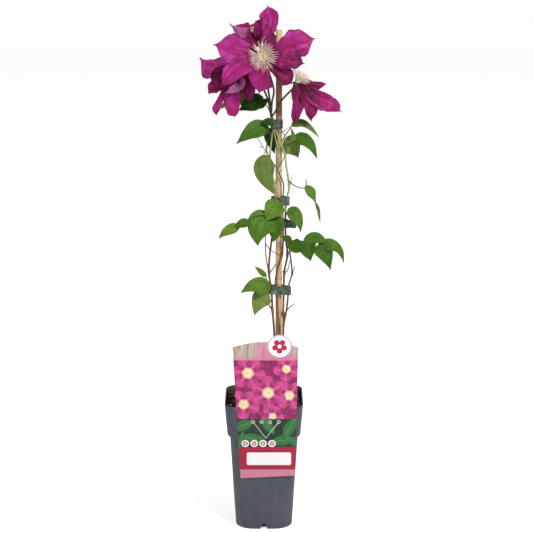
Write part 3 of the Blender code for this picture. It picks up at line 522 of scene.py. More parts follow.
# %% [markdown]
# ## The potting mix
#
# The mix is dark peat with crumbs, bark chips and white perlite beads. Only its top shows, but it is a root
# ball that fills the pot. A fine grid makes the top: it is pulled to the pot's outline, roughened by two
# displacements of different size, and its border is then extruded down the inside of the wall.
# Crumbs, chips and beads are modelled once each and copied over the surface, as they lie on the real mix.

# %% Top of the mix
MIX_TOP = 178.3
MIX_HALF, MIX_CORNER = 51.8, 15.4


def reach_of(way, half, corner):
    """How far it is from the middle to the outline of a square with round corners."""
    small, large = sorted((abs(way.x), abs(way.y)))
    reach, flat = half / max(large, 1e-6), half - corner
    if reach * small > flat:
        sloped = flat * (small + large)
        reach = sloped + math.sqrt(max(sloped * sloped - 2 * flat * flat + corner * corner, 0.0))
    return reach


clear_selection()
bpy.ops.mesh.primitive_grid_add(x_subdivisions=84, y_subdivisions=84, size=2.0)
soil = bpy.context.object
for vert in soil.data.vertices:
    share = max(abs(vert.co.x), abs(vert.co.y))
    way = Vector((vert.co.x, vert.co.y)).normalized() if share > 1e-5 else Vector((1, 0))
    flat = way * reach_of(way, MIX_HALF, MIX_CORNER) * share
    vert.co = Vector((flat.x, flat.y, MIX_TOP)) * MM
lumps = bpy.data.textures.new("lumps", "CLOUDS")
lumps.noise_scale = 0.011
crumble = bpy.data.textures.new("crumble", "CLOUDS")
crumble.noise_scale = 0.0028
apply_modifier(soil, "DISPLACE", texture=lumps, texture_coords="GLOBAL", strength=5.5 * MM, mid_level=0.5)
apply_modifier(soil, "DISPLACE", texture=crumble, texture_coords="GLOBAL", strength=2.6 * MM, mid_level=0.5)
surface = [v.co.copy() for v in soil.data.vertices]
print("mix surface:", len(surface), "points")

# %% Sides and underside of the mix
bpy.ops.object.mode_set(mode="EDIT")
bpy.ops.mesh.select_all(action="DESELECT")
bpy.ops.mesh.select_mode(type="EDGE")
bpy.ops.mesh.select_non_manifold()
for z, half in ((171.0, 51.5), (142.0, 49.3), (136.0, 45.7), (3.2, 38.0)):
    bpy.ops.mesh.extrude_region_move()
    mesh = bmesh.from_edit_mesh(soil.data)
    for vert in mesh.verts:
        if vert.select:
            way = Vector((vert.co.x, vert.co.y)).normalized()
            flat = way * reach_of(way, half, corner_at(z) - 1.8)
            vert.co = Vector((flat.x, flat.y, z)) * MM
    bmesh.update_edit_mesh(soil.data)
bpy.ops.mesh.edge_face_add()
bpy.ops.mesh.select_mode(type="VERT")
face_outwards()
print("mix block:", len(soil.data.polygons), "faces")


# %% A crumb, a bark chip and a perlite bead
def lump_blank(name, fine, rough):
    """A ball whose points are pushed about at random."""
    clear_selection()
    bpy.ops.mesh.primitive_ico_sphere_add(subdivisions=fine, radius=1.0)
    lump = bpy.context.object
    lump.name = name
    bpy.ops.object.mode_set(mode="EDIT")
    bpy.ops.mesh.select_all(action="SELECT")
    bpy.ops.transform.vertex_random(offset=rough, seed=5)
    bpy.ops.object.mode_set(mode="OBJECT")
    return lump


def chip_blank():
    """A flat splinter, made from a roughened block."""
    clear_selection()
    bpy.ops.mesh.primitive_cube_add(size=2.0)
    chip = bpy.context.object
    bpy.ops.object.mode_set(mode="EDIT")
    bpy.ops.mesh.select_all(action="SELECT")
    bpy.ops.mesh.subdivide(number_cuts=1)
    bpy.ops.transform.vertex_random(offset=0.28, seed=11)
    bpy.ops.transform.resize(value=(1.0, 0.55, 0.28))
    bpy.ops.object.mode_set(mode="OBJECT")
    return chip


crumb, bead, chip = lump_blank("crumb", 1, 0.25), lump_blank("bead", 2, 0.1), chip_blank()
print("blanks:", [len(o.data.polygons) for o in (crumb, bead, chip)])


# %% Scatter them over the mix
BARE_X, BARE_Y, BARE_RADIUS = 0.0206, -0.007, 0.0135
FREE_HALF = 0.0525


def scatter(blank, count, small, large, sink, chance):
    """Copies a blank over the surface, away from the cane and the crown."""
    laid = []
    while len(laid) < count:
        spot = surface[chance.randrange(len(surface))]
        if (spot.x - BARE_X) ** 2 + (spot.y - BARE_Y) ** 2 < BARE_RADIUS ** 2:
            continue
        copy = own_copy(blank)
        size = chance.uniform(small, large) * MM
        turn = Matrix.Rotation(chance.uniform(0, 6.28), 4, "Z")
        turn = turn @ Matrix.Rotation(chance.uniform(-0.5, 0.5), 4, "X")
        raised = spot + Vector((0, 0, size * sink))
        edge = max(abs(raised.x), abs(raised.y)) + size * 1.2
        if edge > FREE_HALF:
            raised.xy *= FREE_HALF / edge
        copy.data.transform(Matrix.Translation(raised) @ turn @ Matrix.Scale(size, 4))
        laid.append(copy)
    return laid


chance = random.Random(21)
crumbs = scatter(crumb, 420, 0.6, 1.7, 0.2, chance)
chips = scatter(chip, 80, 1.6, 4.2, 0.1, chance)
beads = scatter(bead, 46, 0.7, 1.7, 0.35, chance)
for blank in (crumb, bead, chip):
    bpy.data.objects.remove(blank, do_unlink=True)
print("on the mix:", len(crumbs), "crumbs,", len(chips), "chips,", len(beads), "beads")

# %% [markdown]
# Peat is almost black where it is damp and brown where it has dried. Chips are the orange-brown of pine bark,
# and perlite is a dull white. They are three finishes on one piece, given by the material slots of its parts.

# %% Finishes of the mix
peat = Finish("damp_peat", 0.9, 0.25)
where = peat.place()
fine = peat.noise(where, 900.0, 5.0, 0.7)
broad = peat.noise(where, 90.0, 4.0, 0.6)
tone = peat.weigh((fine, 0.6), (broad, 0.4))
colour = peat.ramp(tone, (0.35, (0.006, 0.0035, 0.002)), (0.52, (0.022, 0.012, 0.007)),
                   (0.62, (0.06, 0.03, 0.014)), (0.72, (0.16, 0.075, 0.03)))
peat_material = peat.wear(Base_Color=colour, Normal=peat.bump(fine, 0.0008, 0.9))

bark = Finish("pine_bark", 0.8, 0.3)
where = bark.place()
fibre = bark.noise(bark.stretched(where, (900, 260, 260)), 1.0, 4.0, 0.6)
colour = bark.ramp(fibre, (0.3, (0.03, 0.012, 0.006)), (0.55, (0.11, 0.045, 0.018)),
                   (0.75, (0.26, 0.12, 0.05)))
bark_material = bark.wear(Base_Color=colour, Normal=bark.bump(fibre, 0.0004, 0.8))

perlite = Finish("perlite", 0.85, 0.3)
pores = perlite.cells(perlite.place(), 1600.0)
colour = perlite.ramp(pores, (0.0, (0.45, 0.4, 0.36)), (0.4, (0.82, 0.79, 0.74)), (1.0, (0.9, 0.88, 0.84)))
perlite_material = perlite.wear(Base_Color=colour, Normal=perlite.bump(pores, 0.0003, 0.7))

for group, material in (([soil] + crumbs, peat_material), (chips, bark_material), (beads, perlite_material)):
    for part in group:
        coat(part, material)
soil = join("mix_with_bark", [soil] + crumbs + chips + beads)
hand_in(soil, "soil", 35)

# %% [markdown]
# ## The bamboo cane
#
# A plant cane is the top of a thin bamboo: a nearly solid rod with a swollen ring wherever a leaf grew. It
# could be a curve with a varying radius, but the ring has a sharp lip above a groove, so a circle is extruded
# upwards and each new ring is resized. The top is sawn, which leaves a flat face with a soft pith in it.

# %% Extrude the cane
CANE_X, CANE_RADIUS = 20.6, 4.5
CANE_FOOT, CANE_TOP = 34.0, 700.5
CANE_NODES = (212.0, 356.0, 508.0, 640.0)
levels = [(CANE_FOOT, 3.2), (CANE_FOOT + 2.0, 4.4)]
for node in CANE_NODES:
    full = CANE_RADIUS - 0.25 * node / 700
    levels += [(node - 9.0, full), (node - 3.2, full + 0.12), (node - 0.9, full + 0.42),
               (node - 0.3, full + 0.3), (node + 0.1, full + 0.02), (node + 0.7, full + 0.36),
               (node + 2.0, full + 0.22), (node + 5.0, full)]
levels += [(CANE_TOP - 0.5, 4.24), (CANE_TOP, 4.0)]
clear_selection()
bpy.ops.mesh.primitive_circle_add(vertices=40, radius=levels[0][1] * MM, fill_type="NGON",
                                  location=(CANE_X * MM, 0, levels[0][0] * MM))
cane = bpy.context.object
bpy.ops.object.mode_set(mode="EDIT")
now_z, now_r = levels[0]
for z, radius in levels[1:]:
    bpy.ops.mesh.extrude_region_move(TRANSFORM_OT_translate={"value": (0, 0, (z - now_z) * MM)})
    bpy.ops.transform.resize(value=(radius / now_r, radius / now_r, 1.0))
    now_z, now_r = z, radius
bpy.ops.mesh.inset(thickness=2.7 * MM)
bpy.ops.transform.translate(value=(0, 0, -0.9 * MM))
face_outwards()
print("cane:", len(cane.data.polygons), "faces")

# %% [markdown]
# Bamboo skin is hard and slightly shiny, in straw and tan, with fine fibres along it, darker blotches of age,
# a dark line in each node's groove and a whitish bloom of wax under it. The length among the flower stalks is
# darkened, partly by an old sap stain and partly by painted shade that stands for the shade of the blooms.
# Lines, wax and the darkened length depend on the height, so they are drawn from the Z coordinate.

# %% Bamboo finish
skin = Finish("bamboo_skin", 0.4, 0.5)
where = skin.place()
height = skin.parts(where)[2]
fibres = skin.noise(skin.stretched(where, (1500, 1500, 14)), 1.0, 3.0, 0.6)
blotch = skin.noise(skin.stretched(where, (110, 110, 16)), 1.0, 4.0, 0.6)
colour = skin.ramp(fibres, (0.3, (0.4, 0.235, 0.105)), (0.5, (0.58, 0.385, 0.195)), (0.7, (0.74, 0.54, 0.31)))
colour = skin.mix(skin.span(blotch, 0.52, 0.72, 0, 0.55), colour, (0.4, 0.22, 0.1))
colour = skin.mix(skin.span(blotch, 0.42, 0.25, 0, 0.4), colour, (0.74, 0.6, 0.42))
# Painted shade of the blooms together with an old sap stain: the cane darkens over the first pair of heights
# and clears over the second.
STAIN_AND_SHADE_BEGINS, STAIN_AND_SHADE_ENDS = (0.574, 0.59), (0.655, 0.635)
stain_and_shade = skin.times(skin.span(height, *STAIN_AND_SHADE_BEGINS), skin.span(height, *STAIN_AND_SHADE_ENDS))
stain_and_shade = skin.times(stain_and_shade, skin.span(blotch, 0.3, 0.8, 1.0, 0.8))
colour = skin.mix(stain_and_shade, colour, (0.12, 0.046, 0.024))
for node in CANE_NODES:
    off = skin.distance(height, (node + 0.1) * MM)
    colour = skin.mix(skin.span(off, 0.0011, 0.0002, 0, 0.75), colour, (0.16, 0.08, 0.035))
    below = skin.minus(node * MM - 0.002, height)
    wax = skin.times(skin.span(below, 0.0, 0.001), skin.span(below, 0.009, 0.002, 0, 0.35))
    colour = skin.mix(wax, colour, (0.78, 0.7, 0.56))
coat(cane, skin.wear(Base_Color=colour, Normal=skin.bump(fibres, 0.00012, 0.6),
                     Roughness=skin.span(blotch, 0.3, 0.7, 0.34, 0.52)))
cane.name = "bamboo_cane"
hand_in(cane, "cane", 40)

# %% [markdown]
# ## The tie tapes
#
# Each tie is a flat PVC tape that a tying tool pulls round the cane and the stems. A tight band takes the
# shape of a loop round circles, the outline that a stretched rubber band would have. So a circle of points is
# moved to that outline, extruded to the tape's width, given its thickness by Solidify, and its sharp edges
# are rounded by a bevel. A slight wave along the edge keeps it from looking machined. The third tape was not
# trimmed: its free end is a thin block that is tapered and bent a little.

# %% Make the bands
TAPE_WIDE, TAPE_THICK = 12.0, 0.7
TAPE_ROWS, TAPE_POINTS = 6, 72


def band_outline(circles):
    """The outline of a band stretched round a few circles (x, y, radius), in millimetres."""
    outline = []
    for k in range(TAPE_POINTS):
        turn = 2 * math.pi * k / TAPE_POINTS
        way = Vector((math.cos(turn), math.sin(turn)))
        x, y, radius = max(circles, key=lambda c: c[0] * way.x + c[1] * way.y + c[2])
        outline.append(Vector((x, y)) + way * radius)
    return outline


def tape_band(circles, z, slope=0.0):
    """A band round the circles. z is the height of its lower edge, and slope tilts it to one side."""
    clear_selection()
    bpy.ops.mesh.primitive_circle_add(vertices=TAPE_POINTS, radius=0.01)
    tape = bpy.context.object
    for vert, spot in zip(tape.data.vertices, band_outline(circles)):
        vert.co = Vector((spot.x, spot.y, z + slope * (spot.x - CANE_X))) * MM
    bpy.ops.object.mode_set(mode="EDIT")
    bpy.ops.mesh.select_all(action="SELECT")
    for _ in range(TAPE_ROWS):
        bpy.ops.mesh.extrude_region_move(TRANSFORM_OT_translate={"value": (0, 0, TAPE_WIDE / TAPE_ROWS * MM)})
    face_outwards()
    for vert in tape.data.vertices:
        vert.co.z += 0.25 * MM * math.sin(vert.co.x * 320 + vert.co.y * 210)
    apply_modifier(tape, "SOLIDIFY", thickness=TAPE_THICK * MM, offset=1.0)
    apply_modifier(tape, "BEVEL", width=0.16 * MM, segments=2, limit_method="ANGLE",
                   angle_limit=math.radians(55))
    return tape


cane_loop = (CANE_X, 0.0, CANE_RADIUS + 0.15)
tapes = {
    "tie_tape_1": tape_band([cane_loop, (13.8, -6.0, 4.2)], 566.5),
    "tie_tape_2": tape_band([(18.3, -2.5, 7.8), (30.8, -4.4, 4.0)], 460.5),
    "tie_tape_3": tape_band([(19.5, -1.6, 6.6), (28.0, -4.4, 4.2)], 428.5),
    "tie_tape_4": tape_band([(10.8, -5.2, 4.4), cane_loop, (32.6, -4.4, 4.6)], 334.5, -0.05),
}
print("bands:", list(tapes))

# %% The free end of the third tape
TAIL_ROOT, TAIL_END, TAIL_Z = Vector((32.0, -4.4, 0)), Vector((44.6, -8.0, 0)), 434.5
clear_selection()
bpy.ops.mesh.primitive_cube_add(size=1.0)
tail = bpy.context.object
bpy.ops.object.mode_set(mode="EDIT")
bpy.ops.mesh.select_all(action="SELECT")
bpy.ops.mesh.subdivide(number_cuts=5)
bpy.ops.object.mode_set(mode="OBJECT")
for vert in tail.data.vertices:
    along = vert.co.x + 0.5
    spot = TAIL_ROOT.lerp(TAIL_END, along)
    spot += Vector((0.28, 1.0, 0)).normalized() * (vert.co.y * 0.8 + 0.5 * math.sin(along * 3.1))
    vert.co = Vector((spot.x, spot.y, TAIL_Z + vert.co.z * (11.6 - 1.2 * along) - 0.6 * along)) * MM
apply_modifier(tail, "BEVEL", width=0.15 * MM, segments=2, limit_method="ANGLE", angle_limit=math.radians(55))
tapes["tie_tape_3"] = join("tie_tape_3_band", [tapes["tie_tape_3"], tail])
print("tail added")

# %% [markdown]
# The tape is a soft grey-green PVC with fine lengthwise ribs from its die. It catches a dull highlight where
# it bends. Its paler patches are partly creases where the plastic has been stretched and partly painted
# highlights.

# %% Tape finish
pvc = Finish("soft_pvc_tape", 0.38, 0.5)
where = pvc.place()
height = pvc.parts(where)[2]
ribs = pvc.maths("SINE", pvc.times(height, 9000.0))
# Pale patches from this noise are partly stretched creases and partly painted highlights.
creases_and_highlights = pvc.noise(where, 170.0, 3.0, 0.5)
colour = pvc.ramp(creases_and_highlights, (0.32, (0.022, 0.034, 0.026)), (0.52, (0.064, 0.09, 0.07)),
                  (0.72, (0.17, 0.21, 0.17)))
tape_material = pvc.wear(Base_Color=colour, Roughness=pvc.span(creases_and_highlights, 0.3, 0.7, 0.3, 0.48),
                         Normal=pvc.bump(ribs, 0.00004, 0.5, pvc.bump(creases_and_highlights, 0.0006, 0.4)))
for node, tape in tapes.items():
    coat(tape, tape_material)
    tape.name = node + "_band"
    hand_in(tape, node, 50)

# %% [markdown]
# ## The plant label
#
# The label is a stiff printed card that leans on the collar. Its outline is cut by a die: two tapering sides,
# a low arch, and a round lobe that carries a badge. A flat shape like this could be a plane with a modifier,
# but the die's outline is easier to give point by point: a filled circle is moved to the outline and extruded
# by the card's thickness, and then the four holes and the two slits of the hanging flap are cut out.

# %% The die's outline
CARD_MIDDLE, CARD_HALF, CARD_HIGH, CARD_ARCH, CARD_THICK = 2.0, 45.0, 136.0, 8.0, 0.7
BADGE_X, BADGE_UP, BADGE_RADIUS = 21.5, 137.5, 16.8
SEAT = 0.3
LEAN = (COLLAR_TOP_HALF - COLLAR_LOW_HALF) / COLLAR_HIGH
SLOPE = math.hypot(1.0, LEAN)
OUT = Vector((0, -1, -LEAN)).normalized()


def on_card(x, up, out=0.0):
    """A point of the leaning card: x across, up along it from the height of the collar's foot."""
    return Vector((x, -COLLAR_LOW_HALF - SEAT - LEAN * up / SLOPE, COLLAR_FOOT + up / SLOPE)) + OUT * out


def die_outline():
    """The card's outline as points (x, up), from the foot over the left side, the arch and the lobe."""
    edge = [(-31.6, -59.4), (-33.0, -57.6)]
    arch = []
    for step in range(61):
        share = -1 + step / 30
        x, up = CARD_MIDDLE + CARD_HALF * share, CARD_HIGH + CARD_ARCH * (1 - share * share)
        if math.hypot(x - BADGE_X, up - BADGE_UP) > BADGE_RADIUS:
            arch.append((x, up))
    left = [spot for spot in arch if spot[0] < BADGE_X]
    right = [spot for spot in arch if spot[0] > BADGE_X]
    lobe = [(BADGE_X - BADGE_RADIUS * math.cos(a), BADGE_UP + BADGE_RADIUS * math.sin(a))
            for a in (math.radians(24 + 132 * k / 30) for k in range(31))]
    return edge + left + lobe + right + [(44.0, -53.4), (42.6, -55.2)]


card_edge = die_outline()
clear_selection()
bpy.ops.mesh.primitive_circle_add(vertices=len(card_edge), radius=0.05, fill_type="NGON")
label = bpy.context.object
for vert, (x, up) in zip(label.data.vertices, card_edge):
    vert.co = on_card(x, up) * MM
bpy.ops.object.mode_set(mode="EDIT")
bpy.ops.mesh.select_all(action="SELECT")
bpy.ops.mesh.extrude_region_move(TRANSFORM_OT_translate={"value": tuple(OUT * CARD_THICK * MM)})
face_outwards()
print("card outline:", len(card_edge), "points")


# %% Cut the holes and the flap
def card_cutter(outline):
    """A block that goes right through the card, made from a filled circle of points."""
    clear_selection()
    bpy.ops.mesh.primitive_circle_add(vertices=len(outline), radius=0.01, fill_type="NGON")
    block = bpy.context.object
    for vert, (x, up) in zip(block.data.vertices, outline):
        vert.co = on_card(x, up, -1.5) * MM
    bpy.ops.object.mode_set(mode="EDIT")
    bpy.ops.mesh.select_all(action="SELECT")
    bpy.ops.mesh.extrude_region_move(TRANSFORM_OT_translate={"value": tuple(OUT * 4.0 * MM)})
    face_outwards()
    return block


HOLES, HOLES_UP, HOLE_RADIUS = (-15.0, -3.2, 8.6, 20.6), 26.0, 1.7
FLAP_X, FLAP_ENDS, FLAP_LOW, FLAP_HIGH, SLIT = 2.8, (-13.0, 18.6), 1.6, 23.2, 0.25
TURNS = [k * math.pi / 12 for k in range(24)]
cutters = [card_cutter([(x + HOLE_RADIUS * math.cos(turn), HOLES_UP + HOLE_RADIUS * math.sin(turn))
                        for turn in TURNS]) for x in HOLES]
for x in FLAP_ENDS:
    cutters.append(card_cutter([(x - SLIT, FLAP_HIGH), (x + SLIT, FLAP_HIGH),
                                (FLAP_X + SLIT, FLAP_LOW), (FLAP_X - SLIT, FLAP_LOW)]))
combine(label, cutters, "DIFFERENCE")
apply_modifier(label, "BEVEL", width=0.12 * MM, segments=2, limit_method="ANGLE",
               angle_limit=math.radians(60))
print("label:", len(label.data.polygons), "faces")

# %% [markdown]
# The print is drawn by the material, in millimetres on the card. An image would be the usual way, but a few
# shapes are enough here and stay sharp at any size: a box, a disc, a rosette and a leaf. Each is a distance
# from a point or a middle line, so it needs only a few nodes, and gives a mask that is 1 inside the shape.

# %% Shapes for the print
card = Finish("printed_card", 0.3, 0.35, Coat_Weight=0.1, Coat_Roughness=0.2)
sheet = card.stretched(card.place(), (1000, 0, 1000))
sheet_x, _, sheet_z = card.parts(sheet)


def inside(value, limit, soft=0.16):
    """1 where the value is below the limit."""
    return card.span(value, limit + soft, limit - soft)


def both(first, second):
    """1 where both masks are 1."""
    return card.times(first, second)


def from_point(x, z):
    """The offset and the distance from a point of the card."""
    offset = card.add("ShaderNodeVectorMath", {0: sheet, 1: (x, 0, z)}, operation="SUBTRACT")
    return offset, card.add("ShaderNodeVectorMath", {0: offset}, out="Value", operation="LENGTH")


def box(x0, x1, z0, z1, corner=0.0):
    """A rectangle with round corners."""
    wide = card.minus(card.distance(sheet_x, (x0 + x1) / 2), (x1 - x0) / 2 - corner)
    high = card.minus(card.distance(sheet_z, (z0 + z1) / 2), (z1 - z0) / 2 - corner)
    wide, high = card.maths("MAXIMUM", wide, 0.0), card.maths("MAXIMUM", high, 0.0)
    return inside(card.maths("SQRT", card.plus(both(wide, wide), both(high, high))), max(corner, 0.2))


def rosette(x, z, radius, petals, turn, depth=0.32):
    """Mask, share of the radius and the petal wave of a flower with round petals."""
    offset, away = from_point(x, z)
    ox, _, oz = card.parts(offset)
    angle = card.maths("ARCTAN2", oz, ox)
    wave = card.maths("ABSOLUTE", card.maths("COSINE", card.maths("MULTIPLY_ADD", angle, petals / 2, turn)))
    reach = card.maths("MULTIPLY_ADD", card.maths("POWER", wave, 0.5), radius * depth * 1.6,
                       radius * (1 - depth * 1.6))
    share = card.maths("DIVIDE", away, reach)
    return inside(share, 1.0, 0.012), share, wave


def leaf_shape(x, z, long, wide, degrees):
    """Mask and the distance from the middle line of a simple leaf."""
    offset, _ = from_point(x, z)
    turned = card.add("ShaderNodeVectorRotate", {"Vector": offset, "Axis": (0, 1, 0),
                                                 "Angle": math.radians(degrees)})
    lx, _, lz = card.parts(turned)
    along = card.maths("DIVIDE", lx, long)
    side = card.maths("DIVIDE", card.maths("ABSOLUTE", lz), wide)
    return inside(card.plus(both(along, along), side), 1.0, 0.04), side


print("shapes for the print ready")

# %% [markdown]
# The paint is laid on from the back to the front, as a printer lays on inks. The top is a weathered board
# with a soft pink field. Below it is a magenta picture full of round-petalled rosettes: each has a wave of
# petals, a dark rim, a pale stripe along every petal and a cream heart, which is a smaller rosette with
# more petals.

# %% Paint the wood band and the picture
CARD_LEFT, CARD_RIGHT, CARD_FOOT, PICTURE_FOOT, PICTURE_TOP = -60, 60, 60, 168, 254.5
BOARD_WIDE = 13
grainy = card.noise(card.stretched(sheet, (0.3, 1, 0.045)), 1.0, 4.0, 0.65, 0.6)
petal_noise = card.noise(sheet, 0.16, 3.0, 0.6)
fleck = card.noise(sheet, 1.4, 2.0, 0.5)
paint = card.ramp(grainy, (0.3, (0.22, 0.165, 0.135)), (0.5, (0.44, 0.36, 0.3)), (0.68, (0.62, 0.54, 0.47)))
board_edge = card.distance(card.maths("FRACT", card.maths("DIVIDE", sheet_x, BOARD_WIDE)), 0.5)
paint = card.mix(card.span(board_edge, 0.47, 0.49, 0, 0.6), paint, (0.16, 0.12, 0.1))
_, from_sweep = from_point(14, 262)
paint = card.mix(card.span(from_sweep, 38.0, 14.0, 0, 0.7), paint, (0.56, 0.15, 0.3))
paint = card.mix(card.span(sheet_z, 263.0, 256.0, 0, 0.6), paint, (0.55, 0.16, 0.3))
picture = card.ramp(petal_noise, (0.3, (0.12, 0.005, 0.035)), (0.5, (0.24, 0.012, 0.085)),
                    (0.7, (0.38, 0.03, 0.16)))
paint = card.mix(box(CARD_LEFT, CARD_RIGHT, CARD_FOOT, PICTURE_TOP), paint, picture)
FLOWERS = ((-22, 236, 25, 6, 0.4), (31, 242, 19, 5, 1.1), (35, 203, 22, 6, 0.2), (-28, 190, 23, 5, 0.9),
           (6, 207, 26, 6, 1.4), (12, 172, 17, 5, 0.5))
picture_area = box(CARD_LEFT, CARD_RIGHT, PICTURE_FOOT, PICTURE_TOP)
for x, z, radius, petals, turn in FLOWERS:
    mask, share, wave = rosette(x, z, radius, petals, turn)
    petal = card.mix(card.span(wave, 0.1, 1.0), (0.2, 0.006, 0.055), (0.54, 0.035, 0.2))
    petal = card.mix(card.span(share, 0.5, 1.0, 0, 0.5), petal, (0.62, 0.09, 0.32))
    petal = card.mix(both(card.span(wave, 0.95, 1.0), card.span(share, 0.98, 0.3, 0, 0.6)), petal,
                     (0.7, 0.2, 0.42))
    petal = card.mix(card.span(petal_noise, 0.45, 0.65, 0, 0.35), petal, (0.3, 0.01, 0.1))
    rim = card.mix(card.span(share, 0.93, 1.0, 0, 0.7), petal, (0.2, 0.006, 0.06))
    paint = card.mix(both(mask, picture_area), paint, rim)
    star, star_share, _ = rosette(x, z, radius * 0.34, petals * 4, turn, 0.5)
    heart = card.ramp(star_share, (0.0, (0.4, 0.28, 0.04)), (0.3, (0.8, 0.68, 0.3)), (1.0, (0.84, 0.7, 0.52)))
    paint = card.mix(both(star, picture_area), paint, heart)

# %% [markdown]
# Under the picture lies a dark green field with simple leaves, each with a pale middle line and a dark edge.
# The foot is crimson with a plain white panel, and ends in a pink band.

# %% Paint the leaves and the foot
LEAVES_FOOT, PINK_TOP = 126, 92
leafy = card.ramp(petal_noise, (0.35, (0.004, 0.008, 0.005)), (0.6, (0.01, 0.04, 0.016)))
paint = card.mix(box(CARD_LEFT, CARD_RIGHT, CARD_FOOT, PICTURE_FOOT), paint, leafy)
leaf_area = box(CARD_LEFT, CARD_RIGHT, LEAVES_FOOT, PICTURE_FOOT)
LEAVES = ((-30, 158, 17, 8, 25), (-12, 137, 19, 9, -20), (36, 155, 18, 8, 60), (26, 136, 17, 8, 10),
          (6, 158, 15, 7, -55), (-33, 134, 15, 7, 75), (44, 134, 14, 7, -30))
for x, z, long, wide, degrees in LEAVES:
    mask, side = leaf_shape(x, z, long, wide, degrees)
    green = card.mix(petal_noise, (0.008, 0.07, 0.016), (0.04, 0.21, 0.055))
    green = card.mix(card.span(side, 0.1, 0.0, 0, 0.6), green, (0.14, 0.36, 0.13))
    green = card.mix(card.span(side, 0.6, 1.0, 0, 0.5), green, (0.006, 0.05, 0.014))
    paint = card.mix(both(mask, leaf_area), paint, green)
paint = card.mix(box(CARD_LEFT, CARD_RIGHT, CARD_FOOT, LEAVES_FOOT), paint, (0.34, 0.005, 0.035))
pink = card.mix(grainy, (0.46, 0.1, 0.19), (0.66, 0.3, 0.38))
paint = card.mix(box(CARD_LEFT, CARD_RIGHT, CARD_FOOT, PINK_TOP), paint, pink)
paint = card.mix(box(-24, 38, 99, 118, 2.5), paint, (0.84, 0.82, 0.81))

# %% [markdown]
# A row of white discs with small motifs runs along the foot of the dark field. Where the die has cut the
# card, its white core shows as a fine rim: a ring round each hole, and a band along both slits of the flap.
# The badge is a white disc with a thin brown border and a rosette with a white eye.

# %% Paint the discs, the cut edges and the badge
WHITE_INK = (0.86, 0.85, 0.85)
DISC_Z, DISC_STEP = 131.5, 12.4
FLAP_FOOT_Z, FLAP_TOP_Z, SLANT = 139.6, 161.2, 0.7315
BADGE_Z = 275.0
for k in range(4):
    x = -26 + DISC_STEP * k
    paint = card.mix(inside(from_point(x, DISC_Z)[1], 5.2), paint, (0.86, 0.84, 0.84))
    mask, share, _ = rosette(x, DISC_Z, 3.7, 3 + 2 * k, 0.5 * k)
    paint = card.mix(both(mask, card.span(share, 0.35, 0.45)), paint, (0.4, 0.02, 0.1))
for x in HOLES:
    _, from_hole = from_point(x, COLLAR_FOOT + HOLES_UP / SLOPE)
    paint = card.mix(inside(from_hole, 2.5), paint, (0.7, 0.7, 0.68))
slit_x = card.times(card.minus(sheet_z, FLAP_FOOT_Z), SLANT)
from_slit = card.minus(card.distance(sheet_x, FLAP_X), slit_x)
slit_edge = both(inside(card.maths("ABSOLUTE", from_slit), 0.7, 0.25), box(-14, 20, FLAP_FOOT_Z, FLAP_TOP_Z))
paint = card.mix(slit_edge, paint, (0.62, 0.66, 0.62))
_, from_badge = from_point(BADGE_X, BADGE_Z)
paint = card.mix(inside(from_badge, 16.5), paint, (0.5, 0.42, 0.36))
paint = card.mix(inside(from_badge, 15.0), paint, WHITE_INK)
paint = card.mix(rosette(BADGE_X, BADGE_Z, 10.5, 5, 0.785)[0], paint, (0.4, 0.01, 0.06))
paint = card.mix(inside(from_badge, 2.7), paint, WHITE_INK)
paint = card.mix(card.span(fleck, 0.55, 0.7, 0, 0.06), paint, (0.02, 0.01, 0.01))
print_material = card.wear(Base_Color=paint, Roughness=card.span(fleck, 0.3, 0.7, 0.26, 0.36))
print("print:", len(card.tree.nodes), "nodes")

# %% [markdown]
# Only the front is printed. The back and the cut edges are plain white card, so the faces are told apart by
# the way they look.

# %% The white card
board = Finish("white_card", 0.5, 0.4)
pulp = board.noise(board.place(), 700.0, 3.0, 0.6)
board_material = board.wear(Base_Color=board.ramp(pulp, (0.3, (0.72, 0.71, 0.69)), (0.7, (0.82, 0.81, 0.8))))
coat(label, board_material, print_material)
for face in label.data.polygons:
    face.material_index = 1 if face.normal.dot(OUT) > 0.9 else 0
label.name = "printed_label"
hand_in(label, "label", 30)

# %% [markdown]
# ## Blanks for stems and blades
#
# Everything that grew is a rod or a blade: stems, stalks and stamens are rods, leaves and sepals are blades.
# Modelling each of more than four hundred by hand would give uneven results. A maker of silk flowers works
# another way: cut one flat blank, then bend copies of it. So each blank is modelled once, straight and flat,
# and a laying function bends a copy along its own curve.

# %% The rod blank
def rod_blank(name, rings, sides):
    """A rod one unit high with a radius of one unit, extruded ring by ring."""
    clear_selection()
    bpy.ops.mesh.primitive_circle_add(vertices=sides, radius=1.0, fill_type="NGON")
    rod = bpy.context.object
    rod.name = name
    bpy.ops.object.mode_set(mode="EDIT")
    for _ in range(rings):
        bpy.ops.mesh.extrude_region_move(TRANSFORM_OT_translate={"value": (0, 0, 1.0 / rings)})
    face_outwards()
    rod["rings"] = rings
    return rod


def smooth_path(points, count):
    """Even steps along a smooth curve through the points."""
    spots = [Vector(point) for point in points]
    spots = [spots[0] * 2 - spots[1]] + spots + [spots[-1] * 2 - spots[-2]]
    dense = []
    for a, b, c, d in zip(spots, spots[1:], spots[2:], spots[3:]):
        for step in range(12):
            t = step / 12
            dense.append(0.5 * (2 * b + (c - a) * t + (2 * a - 5 * b + 4 * c - d) * t * t
                                + (3 * b - a - 3 * c + d) * t ** 3))
    dense.append(spots[-2])
    reach = [0.0]
    for first, second in zip(dense, dense[1:]):
        reach.append(reach[-1] + (second - first).length)
    path, k = [], 0
    for i in range(count + 1):
        goal = reach[-1] * i / count
        while k < len(dense) - 2 and reach[k + 1] < goal:
            k += 1
        path.append(dense[k].lerp(dense[k + 1], (goal - reach[k]) / max(reach[k + 1] - reach[k], 1e-9)))
    return path


